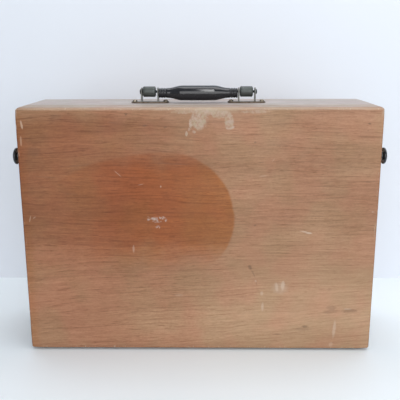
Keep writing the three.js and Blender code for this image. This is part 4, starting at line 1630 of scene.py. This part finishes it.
def floor_material():
    shader = Shader("floor_card")
    position = shader.position()
    mottle = shader.noise(shader.vector(*position), 0.004, detail=3)
    colour = shader.mix(mottle, (0.80, 0.87, 0.93), (0.86, 0.93, 0.97))
    shader.set(Base_Color=colour, Roughness=0.55, Specular_IOR_Level=0.3)
    return clear_from_behind(shader)


def wall_material():
    shader = Shader("wall_card")
    shader.set(Base_Color=(0.735, 0.782, 0.855), Roughness=0.8)
    return clear_from_behind(shader)


WALL_Y = 0.19


STAGE_REACH = 6.0
WALL_HEIGHT = 4
WALL_LEAN = 0.4  # how far the wall's top is behind its foot


def card(name, corners, material):
    """A flat card of the stage that sinks as the lid opens."""
    piece = mesh_object(name, corners, [(0, 1, 2, 3)])
    piece.data.materials.append(material)
    drop_with_lid(piece)


def drop_with_lid(piece):
    """The stage sinks out of the way as the lid swings down past the resting plane."""
    curve = piece.driver_add("location", 2)
    variable = curve.driver.variables.new()
    variable.name = "turn"
    variable.type = "TRANSFORMS"
    variable.targets[0].id = frame["bodies"]["lid"]
    variable.targets[0].transform_type = "ROT_X"
    variable.targets[0].transform_space = "WORLD_SPACE"
    depth = SEAM_Y - LID_LOW.y
    height = LID_HIGH.z
    curve.driver.expression = f"-{depth:.4f}*sin(turn)-{height:.4f}*max(0,-cos(turn))"


def stage():
    side = STAGE_REACH
    corners = [(-side, -side, 0), (side, -side, 0), (side, side, 0), (-side, side, 0)]
    card("floor", corners, floor_material())
    top_y = WALL_Y + WALL_LEAN
    corners = [(-side, WALL_Y, 0), (side, WALL_Y, 0)]
    corners += [(side, top_y, WALL_HEIGHT), (-side, top_y, WALL_HEIGHT)]
    card("wall", corners, wall_material())


def area_light(name, location, target, size, power):
    """A white rectangular lamp, size and place in metres, power in watts."""
    data = bpy.data.lights.new(name, "AREA")
    data.shape = "RECTANGLE"
    data.size, data.size_y = size
    data.energy = power
    light = bpy.data.objects.new(name, data)
    light.location = location
    aim = Vector(target) - Vector(location)
    light.rotation_euler = aim.to_track_quat("-Z", "Y").to_euler()
    light.visible_camera = False
    bpy.context.scene.collection.objects.link(light)


def lights():
    middle = (0, 0, 0.15)
    area_light("front", (0.3, -2.0, 0.7), middle, (2.2, 1.3), 24.8)
    area_light("top", (0.1, 0.1, 1.6), middle, (1.6, 0.8), 13.5)
    area_light("window", (0.056, -1.04, 1.26), (0, 0, 0.32), (0.13, 0.85), 2.9)
    area_light("right", (1.6, -0.6, 0.7), middle, (1.2, 1.2), 3.3)
    behind = (0, WALL_Y - 0.01, 0.16)  # a faint glow on the wall behind the box
    area_light("behind", behind, (0, 0, 0.16), (0.40, 0.28), 0.25)
    world = bpy.data.worlds.new("studio")
    bpy.context.scene.world = world
    world.use_nodes = True
    background = world.node_tree.nodes["Background"]
    background.inputs[0].default_value = (1, 1, 1, 1)
    background.inputs[1].default_value = 0.3


SENSOR = 36
CAMERA_PLACE = (0.0098, -0.7776, 0.3734)
CAMERA_PITCH = 13.81  # degrees below the horizon
CAMERA_YAW = -0.72  # degrees towards +X
CAMERA_ROLL = -0.17
LENS_PER_SENSOR = 1.5197


def camera():
    """The photo's viewpoint, found from the corners of the box."""
    data = bpy.data.cameras.new("camera")
    data.sensor_width = SENSOR
    data.lens = LENS_PER_SENSOR * SENSOR
    data.clip_start, data.clip_end = 0.01, 30
    piece = bpy.data.objects.new("camera", data)
    bpy.context.scene.collection.objects.link(piece)
    pitch, yaw, roll = (math.radians(a) for a in (CAMERA_PITCH, CAMERA_YAW, CAMERA_ROLL))
    ahead = Vector((
        math.sin(yaw) * math.cos(pitch), math.cos(yaw) * math.cos(pitch), -math.sin(pitch)
    ))
    level = ahead.cross(Vector((0, 0, 1))).normalized()
    above = level.cross(ahead)
    right = level * math.cos(roll) + above * math.sin(roll)
    up = above * math.cos(roll) - level * math.sin(roll)
    axes = Matrix((right, up, -ahead)).transposed()
    piece.matrix_world = Matrix.Translation(CAMERA_PLACE) @ axes.to_4x4()
    bpy.context.scene.camera = piece


# ---------------------------------------------------------------- build

wood_case()
dividers()
rod_metal = handle()
stays()
hinges(rod_metal)
glides()
stage()
lights()
camera()
bpy.context.scene.view_settings.view_transform = "Standard"
